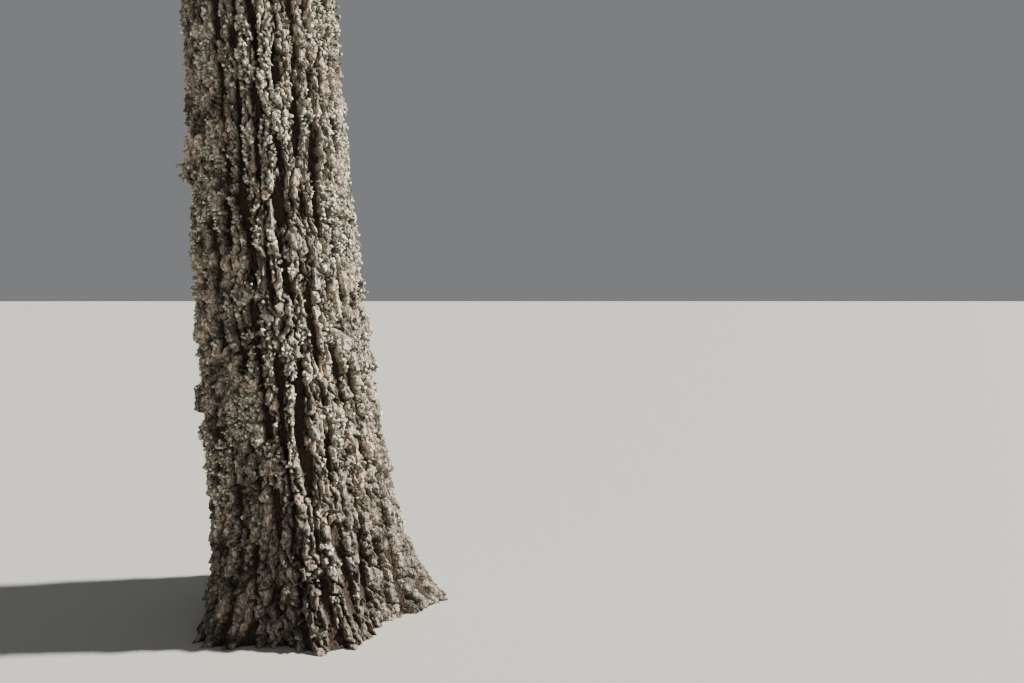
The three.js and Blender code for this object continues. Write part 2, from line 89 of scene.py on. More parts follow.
# %% Sizes of the masses and their sprays
MASS_LENGTH, MASS_WIDTH, MASS_DEPTH, MASS_LEAST_DEPTH, MASS_LIFT = 0.56, 0.42, 0.16, 0.27, 0.05
SHARED_MARGIN, SPACE_USED = 0.05, 0.97
STEM_SHARE = 0.9
GOLDEN_ANGLE = np.radians(137.5)
TWIGS_PER_MASS, TWIG_ANGLE = 5, np.radians(54)
TWIG_TURN_SPREAD, TWIG_PLACE_SPREAD = np.radians(29), 0.3
TWIG_FLATTENING, TWIG_LIFT, TWIG_IN_SPRAY = 0.55, 0.16, 0.12
TOP_TWIGS, TOP_SPRAY, TOP_HALF_WIDTH, TOP_HALF_HEIGHT = 9, 0.52, 0.7, 0.72
SPRAY_LENGTH, FULL_SPRAY_REACH = 0.68, 2.2
SPRAY_SUNK, SPRAY_MIDDLE, SPRAY_GIRTH, SPRAY_APART = 0.12, 0.72, 0.3, 0.36
SPRAY_SIZES, SPRAY_SIZE_SPREAD, SPRAY_LIFT = [1, 0.82, 0.66], 0.15, 0.3
SIDE_SPRAY_ANGLE, SIDE_SPRAY_STEP, SIDE_SPRAY_SIZE = np.radians(56), 0.6, 0.85
UPRIGHT_SPRAYS = 2
BOUGH_SEED, MASS_SEED, TOP_SEED, SNAG_SEED = 100, 7000, 99, 500

# %% [markdown]
# ## The same random numbers
# A random generator from a library could change between versions and would not match the one that
# placed the solids. A linear congruential generator is one line of arithmetic, so both sides can
# have the same one.

# %% Seeded numbers
def seeded(seed):
    """Numbers from 0 to 1: each state is the last one times a factor plus a constant, kept to 32 bits."""
    state = seed * 2654435761 % 2**32

    def draw():
        nonlocal state
        state = (state * 1664525 + 1013904223) % 2**32
        return state / 2**32

    return draw


def either_way(draw):
    """From -1 to 1."""
    return 2 * draw() - 1


def mix(a, b, share):
    """a at share 0, b at share 1, straight between them."""
    return a + (b - a) * share


def unit(vectors):
    """Each vector over its own length."""
    return vectors / np.linalg.norm(vectors, axis=-1, keepdims=True)


# %% [markdown]
# ## The trunk's line and girth
# Two functions hold the whole trunk: where its middle is at a height, and how far its side is from
# that middle. They take whole arrays, so one call gives every point of a mesh.

# %% Trunk axis and radius
def trunk_axis(z):
    """Sweeps and leans to -X by amounts that settle as 1 - exp(-z), plus a slow sine that starts with height."""
    z = np.asarray(z, float)
    wander = WANDER * np.minimum(1, z / WANDER_STARTS) ** 2
    turn = 2 * np.pi * z / WANDER_LENGTH
    lean = SWEEP * (1 - np.exp(-z / SWEEP_SETTLES)) + LEAN * (1 - np.exp(-z / LEAN_SETTLES))
    x = wander * np.sin(turn) - lean
    y = wander * np.sin(WANDER_CROSS_RATE * turn + WANDER_CROSS_TURN)
    return np.stack([x, y, z], -1)


def trunk_radius(z, angle):
    """A stem that tapers by a power, plus an exponential butt and root flare, each with cosine lobes."""
    stem = STEM_RADIUS * (1 - z / TREE_HEIGHT) ** TAPER_POWER
    butt = BUTT_SWELL * np.exp(-z / BUTT_HEIGHT)
    roots = ROOT_FLARE * np.exp(-z / ROOT_HEIGHT)
    lobes = np.cos(ROOT_LOBES * (angle - LOBE_TURN))
    lobes = lobes + BROAD_LOBE_SHARE * np.cos(BROAD_LOBES * (angle - LOBE_TURN))
    return stem + butt * (1 + BUTT_LOBING * lobes) + roots * (1 + ROOT_LOBING * lobes)


print("girth at breast height:", round(float(2 * np.pi * trunk_radius(1.3, 0.0)), 2), "m")

# %% [markdown]
# ## Boughs and snags
# A Scots pine sets its boughs in whorls, one a year, and loses most of them in a wood, which leaves
# loose groups. Each bough is a curve: out, a little to one side, and up in a slow curl.

# %% One bough's curve and girth
def outward(azimuth):
    """The level direction of an azimuth, and the one to its left."""
    return np.array([[np.cos(azimuth), np.sin(azimuth), 0], [-np.sin(azimuth), np.cos(azimuth), 0]])


def bough_plan(seed, root, azimuth, reach, slope, sway, bare):
    """point_at(share) = root + out * share + side * sine + up * (slope * share + curl * share squared)."""
    out, side = outward(azimuth)

    def point_at(share):
        share = np.asarray(share, float)[..., None]
        sideways = side * reach * sway * np.sin(np.pi * share)
        return root + out * reach * share + sideways + UP * reach * (slope * share + BOUGH_CURL * share**2)

    def radius_at(share):
        base = BOUGH_BASE_RADIUS + BOUGH_RADIUS_PER_REACH * reach
        collar = 1 + COLLAR * np.exp(-share * reach / COLLAR_LENGTH)
        return mix(base, BOUGH_TIP_RADIUS, share / STEM_SHARE) * collar

    start = point_at(bare)
    along = point_at(1) - start
    forward = unit(along)
    across = unit(np.cross(UP, forward))
    depth = max(MASS_LEAST_DEPTH, MASS_DEPTH * reach)
    space = SimpleNamespace(
        centre=start + along / 2 + UP * MASS_LIFT * reach,
        axes=np.array([forward, across, np.cross(forward, across)]),
        halves=np.array([MASS_LENGTH * np.linalg.norm(along), MASS_WIDTH * reach, depth]),
    )
    return SimpleNamespace(
        seed=seed, reach=reach, bare=bare, point_at=point_at, radius_at=radius_at, across=across, space=space
    )


# %% Plan of all boughs
def plan_boughs():
    """Boughs spaced evenly round each whorl with some spread, stepping up round the trunk."""
    boughs = []
    for whorl, size in enumerate(WHORL_SIZES):
        share = whorl / (len(WHORL_SIZES) - 1)
        for k in range(size):
            seed = BOUGH_SEED + len(boughs)
            draw = seeded(seed)
            azimuth = whorl * WHORL_TURN + 2 * np.pi / size * (k + BOUGH_SPREAD * either_way(draw))
            spiral = (-1 if whorl % 2 else 1) * ((2 * k + 1) / size - 1)
            step = BOUGH_STEP * mix(1, HIGH_STEP_SHARE, share) * (spiral + STEP_SPREAD * either_way(draw))
            root = trunk_axis(mix(LOWEST_WHORL, HIGHEST_WHORL, share) + step)
            outline = np.sin(np.pi * (REACH_START + REACH_SPAN * share)) ** REACH_POWER
            reach = CROWN_RADIUS * outline * (REACH_SHARE + REACH_SPREAD * either_way(draw))
            slope = mix(LOW_SLOPE, HIGH_SLOPE, share**SLOPE_POWER) + SLOPE_SPREAD * either_way(draw)
            sway = BOUGH_SWAY * either_way(draw)
            bare = mix(LOW_BARE_SHARE, HIGH_BARE_SHARE, share)
            boughs.append(bough_plan(seed, root, azimuth, reach, slope, sway, bare))
    return boughs


boughs = plan_boughs()
reaches = [b.reach for b in boughs]
print(len(boughs), "boughs, reaching", round(min(reaches), 2), "to", round(max(reaches), 2), "m")

# %% Plan of the snags
def snag_plan(root, azimuth, length, bow):
    """A snag's curve: out, a little to one side, down and then up again."""
    out, side = outward(azimuth)

    def point_at(share):
        share = np.asarray(share, float)[..., None]
        rise = UP * (SNAG_SLOPE * share + SNAG_CURL * share**2)
        return root + length * (out * share + side * bow * np.sin(np.pi * share) + rise)

    return SimpleNamespace(length=length, point_at=point_at)


def plan_snags():
    """Dead stubs that turn round the trunk by the golden angle as they climb."""
    snags = []
    for i in range(SNAG_COUNT):
        draw = seeded(SNAG_SEED + i)
        root = trunk_axis(mix(LOWEST_SNAG, HIGHEST_SNAG, (i + SNAG_PLACE_SPREAD * draw()) / SNAG_COUNT))
        azimuth = i * GOLDEN_ANGLE + SNAG_TURN_SPREAD * either_way(draw)
        length = SNAG_LENGTH * mix(SNAG_SHORTEST, 1, draw())
        snags.append(snag_plan(root, azimuth, length, SNAG_BOW * either_way(draw)))
    return snags


snags = plan_snags()
print(len(snags), "snags, up to", round(max(s.length for s in snags), 2), "m long")

# %% [markdown]
# ## Where each mass may grow
# A mass keeps to an ellipsoid round its bough's outer part. Measured in its own half-widths, a point's
# distance from the middle is below 1 inside. A twig has to be deeper in its own space than in any
# other, so two masses never share a place.

# %% Tests of space
top_space = SimpleNamespace(
    centre=trunk_axis(TREE_HEIGHT - TOP_HALF_HEIGHT),
    axes=np.eye(3),
    halves=np.array([TOP_HALF_WIDTH, TOP_HALF_WIDTH, TOP_HALF_HEIGHT]),
)
spaces = [*(b.space for b in boughs), top_space]
all_centres = np.array([s.centre for s in spaces])
all_scaled_axes = np.array([s.axes / s.halves[:, None] for s in spaces])


def stays_in(number, points):
    """True where every point is inside space number, and deeper in it than in any other."""
    away = np.array(points)[:, None, :] - all_centres
    depth = np.linalg.norm(np.einsum("sij,psj->psi", all_scaled_axes, away), axis=-1)
    own, others = depth[:, number], np.delete(depth, number, axis=1)
    return bool((own < 1).all() and (others > own[:, None] + SHARED_MARGIN).all())


def distance_to_edge(number, point, direction):
    """The positive root of |p + t d| = 1 for a point and a direction in the space's own half-widths."""
    p = all_scaled_axes[number] @ (point - all_centres[number])
    d = all_scaled_axes[number] @ direction
    a, b, c = d @ d, p @ d, p @ p - 1
    return (-b + np.sqrt(max(0.0, b * b - a * c))) / a


# %% Tests against the limbs
BALL_SPACING = 0.12


def ball_shares(length):
    """Places along a limb, from 0 to 1, that are at most BALL_SPACING apart."""
    return np.linspace(0, 1, int(np.ceil(length / BALL_SPACING)) + 1)


bare_shares = [b.bare * ball_shares(b.reach * b.bare) for b in boughs]
heights = TRUNK_HEIGHT * ball_shares(TRUNK_HEIGHT)
ball_points = np.concatenate([b.point_at(s) for b, s in zip(boughs, bare_shares)] + [trunk_axis(heights)])
ball_radii = np.concatenate([b.radius_at(s) for b, s in zip(boughs, bare_shares)] + [trunk_radius(heights, 0)])


def clear_of_limbs(start, end, radius):
    """True if the stretch from start to end, with a radius, touches none of the limbs' balls."""
    way = end - start
    share = np.clip((ball_points - start) @ way / (way @ way), 0, 1)
    gap = np.linalg.norm(start + share[:, None] * way - ball_points, axis=1)
    return bool((gap > radius + ball_radii).all())


print(len(ball_points), "balls stand for the limbs")

# %% [markdown]
# ## The rule that grows a mass
# Twigs turn round the mass's stem by the golden angle. Each ends in a spray, has side sprays back
# along it, and a few sprays stand up on the stem. A spray that would leave the space, touch a limb
# or crowd another is tried smaller, and then left out. This is the solids' rule, step for step.

# %% Grow one mass
def grow_mass(number, name, seed, stem_at, stem_radius, across, twig_count, spray_length):
    """A mass with its twigs as (from, to) and its sprays, which have a start, direction, size and turn."""
    draw = seeded(MASS_SEED + seed)
    twigs, sprays = [], []

    def stem_direction(share):
        return unit(stem_at(share + 0.05) - stem_at(share - 0.05))

    def add_spray(at, direction, full_size, sunk):
        turn = 2 * np.pi * draw()
        flank = unit(np.cross(direction, UP))
        for share in SPRAY_SIZES:
            size = share * full_size
            start = at - direction * sunk * size
            tip = start + direction * size
            middle = start + direction * SPRAY_MIDDLE * size
            rim = [middle + way * SPRAY_GIRTH * size for way in (flank, -flank, UP)]
            apart = all(np.linalg.norm(s.middle - middle) > SPRAY_APART * (size + s.size) for s in sprays)
            if stays_in(number, [tip, *rim]) and clear_of_limbs(middle, tip, SPRAY_GIRTH * size) and apart:
                sprays.append(
                    SimpleNamespace(start=start, middle=middle, direction=direction, size=size, turn=turn)
                )
                return True
        return False

    add_spray(stem_at(1), stem_direction(1), spray_length, SPRAY_SUNK)
    for k in range(twig_count):
        share = 1 - (k + 0.5 + TWIG_PLACE_SPREAD * either_way(draw)) / twig_count
        base, forward = stem_at(share), stem_direction(share)
        up = np.cross(forward, across)
        turn = seed + k * GOLDEN_ANGLE + TWIG_TURN_SPREAD * either_way(draw)
        outwards = across * np.cos(turn) + up * TWIG_FLATTENING * np.sin(turn)
        direction = unit(forward * np.cos(TWIG_ANGLE) + outwards * np.sin(TWIG_ANGLE) + UP * TWIG_LIFT)
        room = SPACE_USED * distance_to_edge(number, base, direction)
        size = min(spray_length, room) * (1 - SPRAY_SIZE_SPREAD * draw())
        reach = max(0.0, room - (1 - SPRAY_SUNK) * size)
        tip = base + direction * reach
        turned = unit(direction + UP * SPRAY_LIFT)
        if not add_spray(tip, turned, size, SPRAY_SUNK):
            continue
        twigs.append((base, tip + turned * TWIG_IN_SPRAY * size))
        ahead = direction * np.cos(SIDE_SPRAY_ANGLE)
        beside = unit(np.cross(UP, direction))
        back = step = SIDE_SPRAY_STEP * size
        while back < reach:
            for way in (-1, 1):
                bent = ahead + beside * way * np.sin(SIDE_SPRAY_ANGLE) + UP * SPRAY_LIFT
                add_spray(tip - direction * back, unit(bent), SIDE_SPRAY_SIZE * size, 0)
            back += step
    for k in range(UPRIGHT_SPRAYS):
        share = (k + 0.5) / UPRIGHT_SPRAYS
        add_spray(stem_at(share), unit(stem_direction(share) + UP), SIDE_SPRAY_SIZE * spray_length, 0)
    return SimpleNamespace(
        name=name, seed=seed, stem_at=stem_at, stem_radius=stem_radius, twigs=twigs, sprays=sprays
    )


# %% Grow them all
masses = []
for number, bough in enumerate(boughs):
    stem_at = lambda share, b=bough: b.point_at(mix(b.bare, STEM_SHARE, np.asarray(share, float)))
    size = SPRAY_LENGTH * min(1, bough.reach / FULL_SPRAY_REACH)
    masses.append(grow_mass(
        number, f"{number + 1:02d}", bough.seed, stem_at, bough.radius_at(bough.bare),
        bough.across, TWIGS_PER_MASS, size,
    ))
masses.append(grow_mass(
    len(boughs), "top", TOP_SEED,
    lambda share: trunk_axis(mix(TRUNK_HEIGHT, TREE_HEIGHT - TOP_SPRAY, np.asarray(share, float))),
    trunk_radius(TRUNK_HEIGHT, 0.0), np.array([1.0, 0, 0]), TOP_TWIGS, TOP_SPRAY,
))
print(len(masses), "masses,", sum(len(m.twigs) for m in masses), "twigs")
print(sum(len(m.sprays) for m in masses), "sprays")

# %% [markdown]
# ## Putting arrays into meshes
# Blender takes a mesh as flat arrays: the corners' places, and for each face where its corners
# start in one long list. Filling those arrays at once is hundreds of times faster than a loop.

# %% Mesh and piece helpers
def mesh_from(name, points, *kinds):
    """A mesh from an array of points and arrays of faces. Those in one array have as many corners each."""
    corners = np.concatenate([faces.ravel() for faces in kinds])
    counts = np.concatenate([np.full(len(faces), faces.shape[1]) for faces in kinds])
    mesh = bpy.data.meshes.new(name)
    mesh.vertices.add(len(points))
    mesh.vertices.foreach_set("co", np.asarray(points, np.float32).ravel())
    mesh.loops.add(len(corners))
    mesh.loops.foreach_set("vertex_index", corners.astype(np.int32))
    mesh.polygons.add(len(counts))
    mesh.polygons.foreach_set("loop_start", (np.cumsum(counts) - counts).astype(np.int32))
    mesh.update(calc_edges=True)
    return mesh


def add_object(name, data):
    """Puts an object in the scene."""
    thing = bpy.data.objects.new(name, data)
    bpy.context.scene.collection.objects.link(thing)
    return thing


def add_piece(mesh, materials, replaces=(), picks=None, smooth=True):
    """Puts a mesh in the scene as a piece that rides with the tree. picks is a material's number per face."""
    if smooth:
        mesh.shade_smooth()
    for material in materials:
        mesh.materials.append(material)
    if picks is not None:
        mesh.polygons.foreach_set("material_index", np.asarray(picks, np.int32))
    piece = add_object(mesh.name, mesh)
    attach(piece, "root")
    if replaces:
        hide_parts(*replaces)


# %% [markdown]
# ## Noise to model with
# Bark is a pattern at every size, from plates as long as a hand to flakes as thin as a nail. Three
# tools make it: smooth noise, which bends and mottles, cells, which crack, and plain arithmetic. They
# are worked out here on whole arrays, so the relief is in the mesh and not only painted on.

# %% Whole-number scatter and smooth noise
def scattered(seed, *whole):
    """A number from 0 to 1 for each set of whole numbers: multiply, fold the high bits down, and repeat."""
    mixed = np.uint32(seed * 747796405 % 2**32) + np.zeros(np.broadcast(*whole).shape, np.uint32)
    for value in whole:
        mixed = (mixed ^ (value.astype(np.int64) & 0xFFFFFFFF).astype(np.uint32)) * np.uint32(2246822519)
        mixed = mixed ^ (mixed >> np.uint32(15))
        mixed = mixed * np.uint32(3266489917)
        mixed = mixed ^ (mixed >> np.uint32(13))
    return mixed / 2**32


def smooth_noise(points, seed):
    """From -1 to 1: random values on a lattice of unit cubes, blended between its eight corners."""
    low = np.floor(points)
    part = points - low
    part = part * part * (3 - 2 * part)
    low = low.astype(np.int64)
    total = 0
    for corner in np.ndindex(2, 2, 2):
        weight = np.prod(np.where(corner, part, 1 - part), axis=-1)
        total = total + weight * scattered(seed, *(low[..., i] + corner[i] for i in range(3)))
    return 2 * total - 1


def rough_noise(points, seed, octaves=3, gain=0.5):
    """Smooth noise plus finer and fainter copies of it, each twice as fine and gain times as strong."""
    strengths = gain ** np.arange(octaves)
    layers = [s * smooth_noise(points * 2**i, seed + i) for i, s in enumerate(strengths)]
    return sum(layers) / strengths.sum()


def ease(low, high, value):
    """0 below low, 1 above high, and an S-curve between."""
    t = np.clip((value - low) / (high - low), 0, 1)
    return t * t * (3 - 2 * t)


# %% Cells round a trunk
def cells(across, along, around, width, height, seed, jitter=0.8):
    """Each point's nearest border between random cells, on a band that closes after `around` cells.

    One seed point is thrown into each box. With the nearest at distance F1 and the next at F2, the
    border's distance is (F2 squared - F1 squared) / (2 x their distance apart), and dividing by the
    length of the border's slope turns boxes into metres. Returns that distance, how upright the
    border runs from 0 to 1, a number for the cell, and the height over the cell's middle.
    """
    box_u, box_v = np.floor(across).astype(np.int64), np.floor(along).astype(np.int64)
    seeds_u, seeds_v = [], []
    for du, dv in np.ndindex(3, 3):
        column, row = (box_u + du - 1) % around, box_v + dv - 1
        seeds_u.append(box_u + du - 0.5 + jitter * (scattered(seed, column, row) - 0.5))
        seeds_v.append(box_v + dv - 0.5 + jitter * (scattered(seed + 1, column, row) - 0.5))
    seeds_u, seeds_v = np.stack(seeds_u), np.stack(seeds_v)
    far = (seeds_u - across) ** 2 + (seeds_v - along) ** 2
    pick = lambda table, which: np.take_along_axis(table, which, 0)[0]
    nearest = far.argmin(0)[None]
    first = pick(far, nearest)
    np.put_along_axis(far, nearest, np.inf, 0)
    next_nearest = far.argmin(0)[None]
    second = pick(far, next_nearest)
    own_u, own_v = pick(seeds_u, nearest), pick(seeds_v, nearest)
    step_u, step_v = pick(seeds_u, next_nearest) - own_u, pick(seeds_v, next_nearest) - own_v
    apart = np.hypot(step_u, step_v)
    slope_u, slope_v = step_u / apart / width, step_v / apart / height
    slope = np.hypot(slope_u, slope_v)
    border = (second - first) / (2 * apart) / slope
    number = scattered(seed + 2, np.floor(own_u).astype(np.int64) % around, np.floor(own_v).astype(np.int64))
    return border, np.abs(slope_u) / slope, number, (along - own_v) * height


# %% [markdown]
# ## The bark's relief
# On an old Scots pine the lowest metres wear a thick corky bark. It cracks as the stem grows: deep
# upright fissures, about 25 mm deep here, part it into ridges 35 to 60 mm wide that lean, split and
# join again. A sine wave round the trunk gives their even spacing, and stretched noise bends it and
# breaks it open. The ridges are stacks of thin scales, so finer cracks cross them and their sides go
# down in ragged steps. Higher up the bark sheds early and stays a few millimetres thin.

# %% Ridges and fissures
GIRTH_RADIUS = 0.235  # of the trunk where it is looked at
RIDGES_ROUND, RIDGE_DEPTH = 27, 0.026
EVEN, LESS_EVEN, EVEN_TO, UNEVEN_FROM = 0.92, 0.55, 2.4, 6.5


def round_trunk(z, angle):
    """Points on an even cylinder, so that noise read there closes round the trunk."""
    return np.stack([GIRTH_RADIUS * np.cos(angle), GIRTH_RADIUS * np.sin(angle), z + 0 * angle], -1)


def ridge_field(z, angle):
    """sin(ridges * angle + bends) plus three layers of stretched noise: high on ridges, low in fissures.

    The sine fades with height, since the thinner bark there breaks into plates.
    """
    at = round_trunk(z, angle)
    bends = 2.7 * smooth_noise(at / [0.15, 0.15, 0.40], 11) + 1.6 * smooth_noise(at / [0.055, 0.055, 0.15], 12)
    wave = np.sin(RIDGES_ROUND * angle + bends)
    broken = smooth_noise(at / [0.036, 0.036, 0.12], 13)
    nicked = smooth_noise(at / [0.02, 0.02, 0.05], 14)
    frayed = rough_noise(at / [0.009, 0.009, 0.018], 15, 2, 0.6)
    evenness = EVEN - LESS_EVEN * ease(EVEN_TO, UNEVEN_FROM, z)
    return evenness * wave + 1.1 * broken + 0.75 * nicked + 0.5 * frayed


def stairs(value, steps):
    """A ramp from 0 to 1 made into steps with steep S-curved risers."""
    level = np.floor(value * steps)
    return (level + ease(0.4, 1.0, value * steps - level)) / steps


# %% Plates, scales and cracks on the ridges
THINS, THINS_FROM, THINS_TO = 0.9, 2.4, 9.5
FOOT_TOP, FOOT_LOW = 0.42, 0.08
PLATES_ROUND, PLATE_HEIGHT, PLATE_STEP, PLATE_TILT = 62, 0.046, 0.008, 0.12
SCALES_ROUND, SCALE_HEIGHT, SCALE_STEP, SCALE_TILT = 128, 0.017, 0.006, 0.18
PLATE_WIDTH, SCALE_WIDTH = (2 * np.pi * GIRTH_RADIUS / n for n in (PLATES_ROUND, SCALES_ROUND))
CRACK_DEPTH, GAP_DEPTH, EDGE_DEPTH, RIM_DEPTH, GRAIN_DEPTH = 0.006, 0.013, 0.003, 0.0015, 0.0036
LOOSE_PLATES = [(0.66, 187, 0.042), (1.30, 187, 0.028)]  # height, turn in degrees, half height
LOOSE_STANDS_OFF, LOOSE_HALF_TURN, LOOSE_RIM = 0.019, np.radians(12), 0.008


def bark_relief(z, angle):
    """Height of the bark over the plain trunk, how raised it is, and how much lichen it holds.

    height = thickness * (stairs up the ridge's side + plates and scales that sit and tilt each its
    own way - cracks between them) + grain. Cracks run where stretched noise is close to zero.
    """
    at = round_trunk(z, angle)
    thick = 1 - THINS * ease(THINS_FROM, THINS_TO, z)
    foot = ease(FOOT_TOP, FOOT_LOW, z)
    mood = rough_noise(at / 0.16, 16, 2)
    climb = ease(-1.15 + 0.3 * mood, -0.05 + 0.3 * mood, ridge_field(z, angle))

    turns = angle / (2 * np.pi)
    bend, lift = rough_noise(at / 0.028, 31, 2), rough_noise(at / 0.035, 32, 2)
    edge, upright, plate, above = cells(
        turns * PLATES_ROUND + 0.8 * bend, z / PLATE_HEIGHT + 0.8 * lift,
        PLATES_ROUND, PLATE_WIDTH, PLATE_HEIGHT, 41,
    )
    rim, _, scale, over = cells(
        turns * SCALES_ROUND + 0.9 * bend, z / SCALE_HEIGHT + 0.9 * lift,
        SCALES_ROUND, SCALE_WIDTH, SCALE_HEIGHT, 43,
    )
    split = smooth_noise(at / [0.018, 0.018, 0.07], 21) + 0.5 * smooth_noise(at / [0.009, 0.009, 0.03], 22)
    crack = 1 - ease(0.03, 0.18, np.abs(split))
    gap = upright * (1 - ease(0.001, 0.0048, edge))

    fringe = rough_noise(at / [0.016, 0.016, 0.03], 33, 3, 0.65)
    ragged = climb + 0.15 * fringe + 0.2 * (plate - 0.5) + 0.1 * (scale - 0.5)
    body = RIDGE_DEPTH * (1 + 0.22 * mood - 0.2 * foot) * (stairs(np.clip(ragged, 0, 1.15), 4) - 1.15)
    plates = PLATE_STEP * (plate - 0.5) + PLATE_STEP * ease(0.93, 0.96, plate) - PLATE_TILT * above
    plates = plates + SCALE_STEP * (scale - 0.5) - SCALE_TILT * over
    grooves = CRACK_DEPTH * crack + GAP_DEPTH * gap + EDGE_DEPTH * (1 - ease(0.0003, 0.003, edge))
    grooves = grooves + RIM_DEPTH * (1 - ease(0.0002, 0.0015, rim))
    grain = GRAIN_DEPTH * rough_noise(at / [0.0085, 0.0085, 0.013], 51, 3, 0.7)
    for middle, turn, half in LOOSE_PLATES:
        beside = ease(LOOSE_HALF_TURN, 0.8 * LOOSE_HALF_TURN, np.abs(angle - np.radians(turn)))
        body = body + LOOSE_STANDS_OFF * (ease(half, half - LOOSE_RIM, np.abs(z - middle)) * beside)
    top = ease(0.15, 0.6, climb)
    height = thick * (body + top * (plates - grooves)) + (0.25 + 0.75 * thick) * (0.65 + 0.35 * top) * grain

    patch = 1.25 * rough_noise(at / [0.08, 0.08, 0.13], 61, 4, 0.6) + 0.14 * ease(0.35, 1.1, z)
    patch = patch - 0.5 * foot - 0.9 * ease(2.6, 6, z)
    lichen = ease(-0.08, 0.26, patch) * ease(0.25, 0.7, ragged) * (1 - 0.8 * crack) * (1 - 0.8 * gap)
    # Cracks and gaps lower the raised mask, so the material paints them dark: partly dirt, partly painted shade.
    return height, np.clip(ragged - 0.35 * crack - 0.65 * gap, 0, 1), lichen


# %% [markdown]
# ## The trunk as a sheet rolled up
# The trunk is a grid: columns go round it and rows go up. Each point is the axis plus the radius and
# the bark's height, outwards. The three lowest pieces have points 3 to 4 mm apart, since that is the
# size of a scale's edge, and the two above are coarser, because they are only seen from far off.
# Normals are worked out from the whole sheet and given to the mesh, so that no seam shows between
# pieces.

# %% Grids of points
def grid_faces(rows, columns):
    """Quads between rings of points, and fans of triangles to the two end points that follow the rings."""
    index = np.arange(rows * columns).reshape(rows, columns)
    right = np.roll(index, -1, 1)
    quads = np.stack([index[:-1], right[:-1], right[1:], index[1:]], -1).reshape(-1, 4)
    low = np.full(columns, rows * columns)
    lower_fan, upper_fan = np.stack([right[0], index[0], low], -1), np.stack([index[-1], right[-1], low + 1], -1)
    return quads, np.concatenate([lower_fan, upper_fan])


def trunk_points(z, angle):
    """Points of the barked trunk, with the two masks of the relief."""
    height, raised, lichen = bark_relief(z, angle)
    radius = trunk_radius(z, angle) + height
    points = trunk_axis(z)
    points[..., 0] += radius * np.cos(angle)
    points[..., 1] += radius * np.sin(angle)
    return points, raised, lichen


def trunk_rings(low, high, rows, columns):
    """Rings of trunk points and their normals: the cross product of the sheet's two slopes.

    One ring more at each end gives the end rings both of their neighbours, and is then left off.
    """
    step = (high - low) / (rows - 1)
    z = (low + step * np.arange(-1, rows + 1))[:, None] + np.zeros(columns)
    angle = 2 * np.pi * np.arange(columns) / columns + np.zeros((rows + 2, 1))
    points, raised, lichen = trunk_points(z, angle)
    round_slope = np.roll(points, -1, 1) - np.roll(points, 1, 1)
    normals = unit(np.cross(round_slope, np.gradient(points, axis=0)))
    return (table[1:-1] for table in (points, normals, raised, lichen))


# %% [markdown]
# ## Bark as a material
# Corky bark is matt, and paler on the worn plates: grey where it has weathered, pinkish brown where
# a flake has just come off. Its cracks are painted dark, partly for dirt and partly as painted shade.
# The grey-green crust is lichen. Higher up the thin young bark is orange. The mesh carries two masks
# for this, so the colours sit exactly on the relief that they belong to.

# %% Colour and node helpers
COLOURS = {"data_type": "RGBA"}  # for a Mix node of colours
TIMES = {"data_type": "RGBA", "blend_type": "MULTIPLY"}  # for one that multiplies them


def paint(code):
    """An sRGB hex colour as linear light, with alpha 1."""
    share = np.array([int(code[i : i + 2], 16) for i in (1, 3, 5)]) / 255
    linear = np.where(share <= 0.04045, share / 12.92, ((share + 0.055) / 1.055) ** 2.4)
    return (*linear.tolist(), 1.0)


def set_inputs(node, inputs):
    """Links or sets each input. A node as a value lends its first live output, and a hex code its colour."""
    for name, value in inputs.items():
        if isinstance(value, bpy.types.Node):
            value = next(output for output in value.outputs if output.enabled)
        if isinstance(value, bpy.types.NodeSocket):
            node.id_data.links.new(value, node.inputs[name])
        else:
            node.inputs[name].default_value = paint(value) if isinstance(value, str) else value


def add_node(material, kind, inputs=None, **settings):
    """Adds a node, sets its properties, and then its named or numbered inputs."""
    node = material.node_tree.nodes.new("ShaderNode" + kind)
    for name, value in settings.items():
        setattr(node, name, value)
    set_inputs(node, inputs or {})
    return node


def new_material(name):
    """A new material, its Principled shader, its node-adding helper, and places on the tree in metres."""
    material = bpy.data.materials.new(name)
    material.use_nodes = True
    add = partial(add_node, material)
    return material, material.node_tree.nodes["Principled BSDF"], add, add("TexCoord").outputs["Object"]


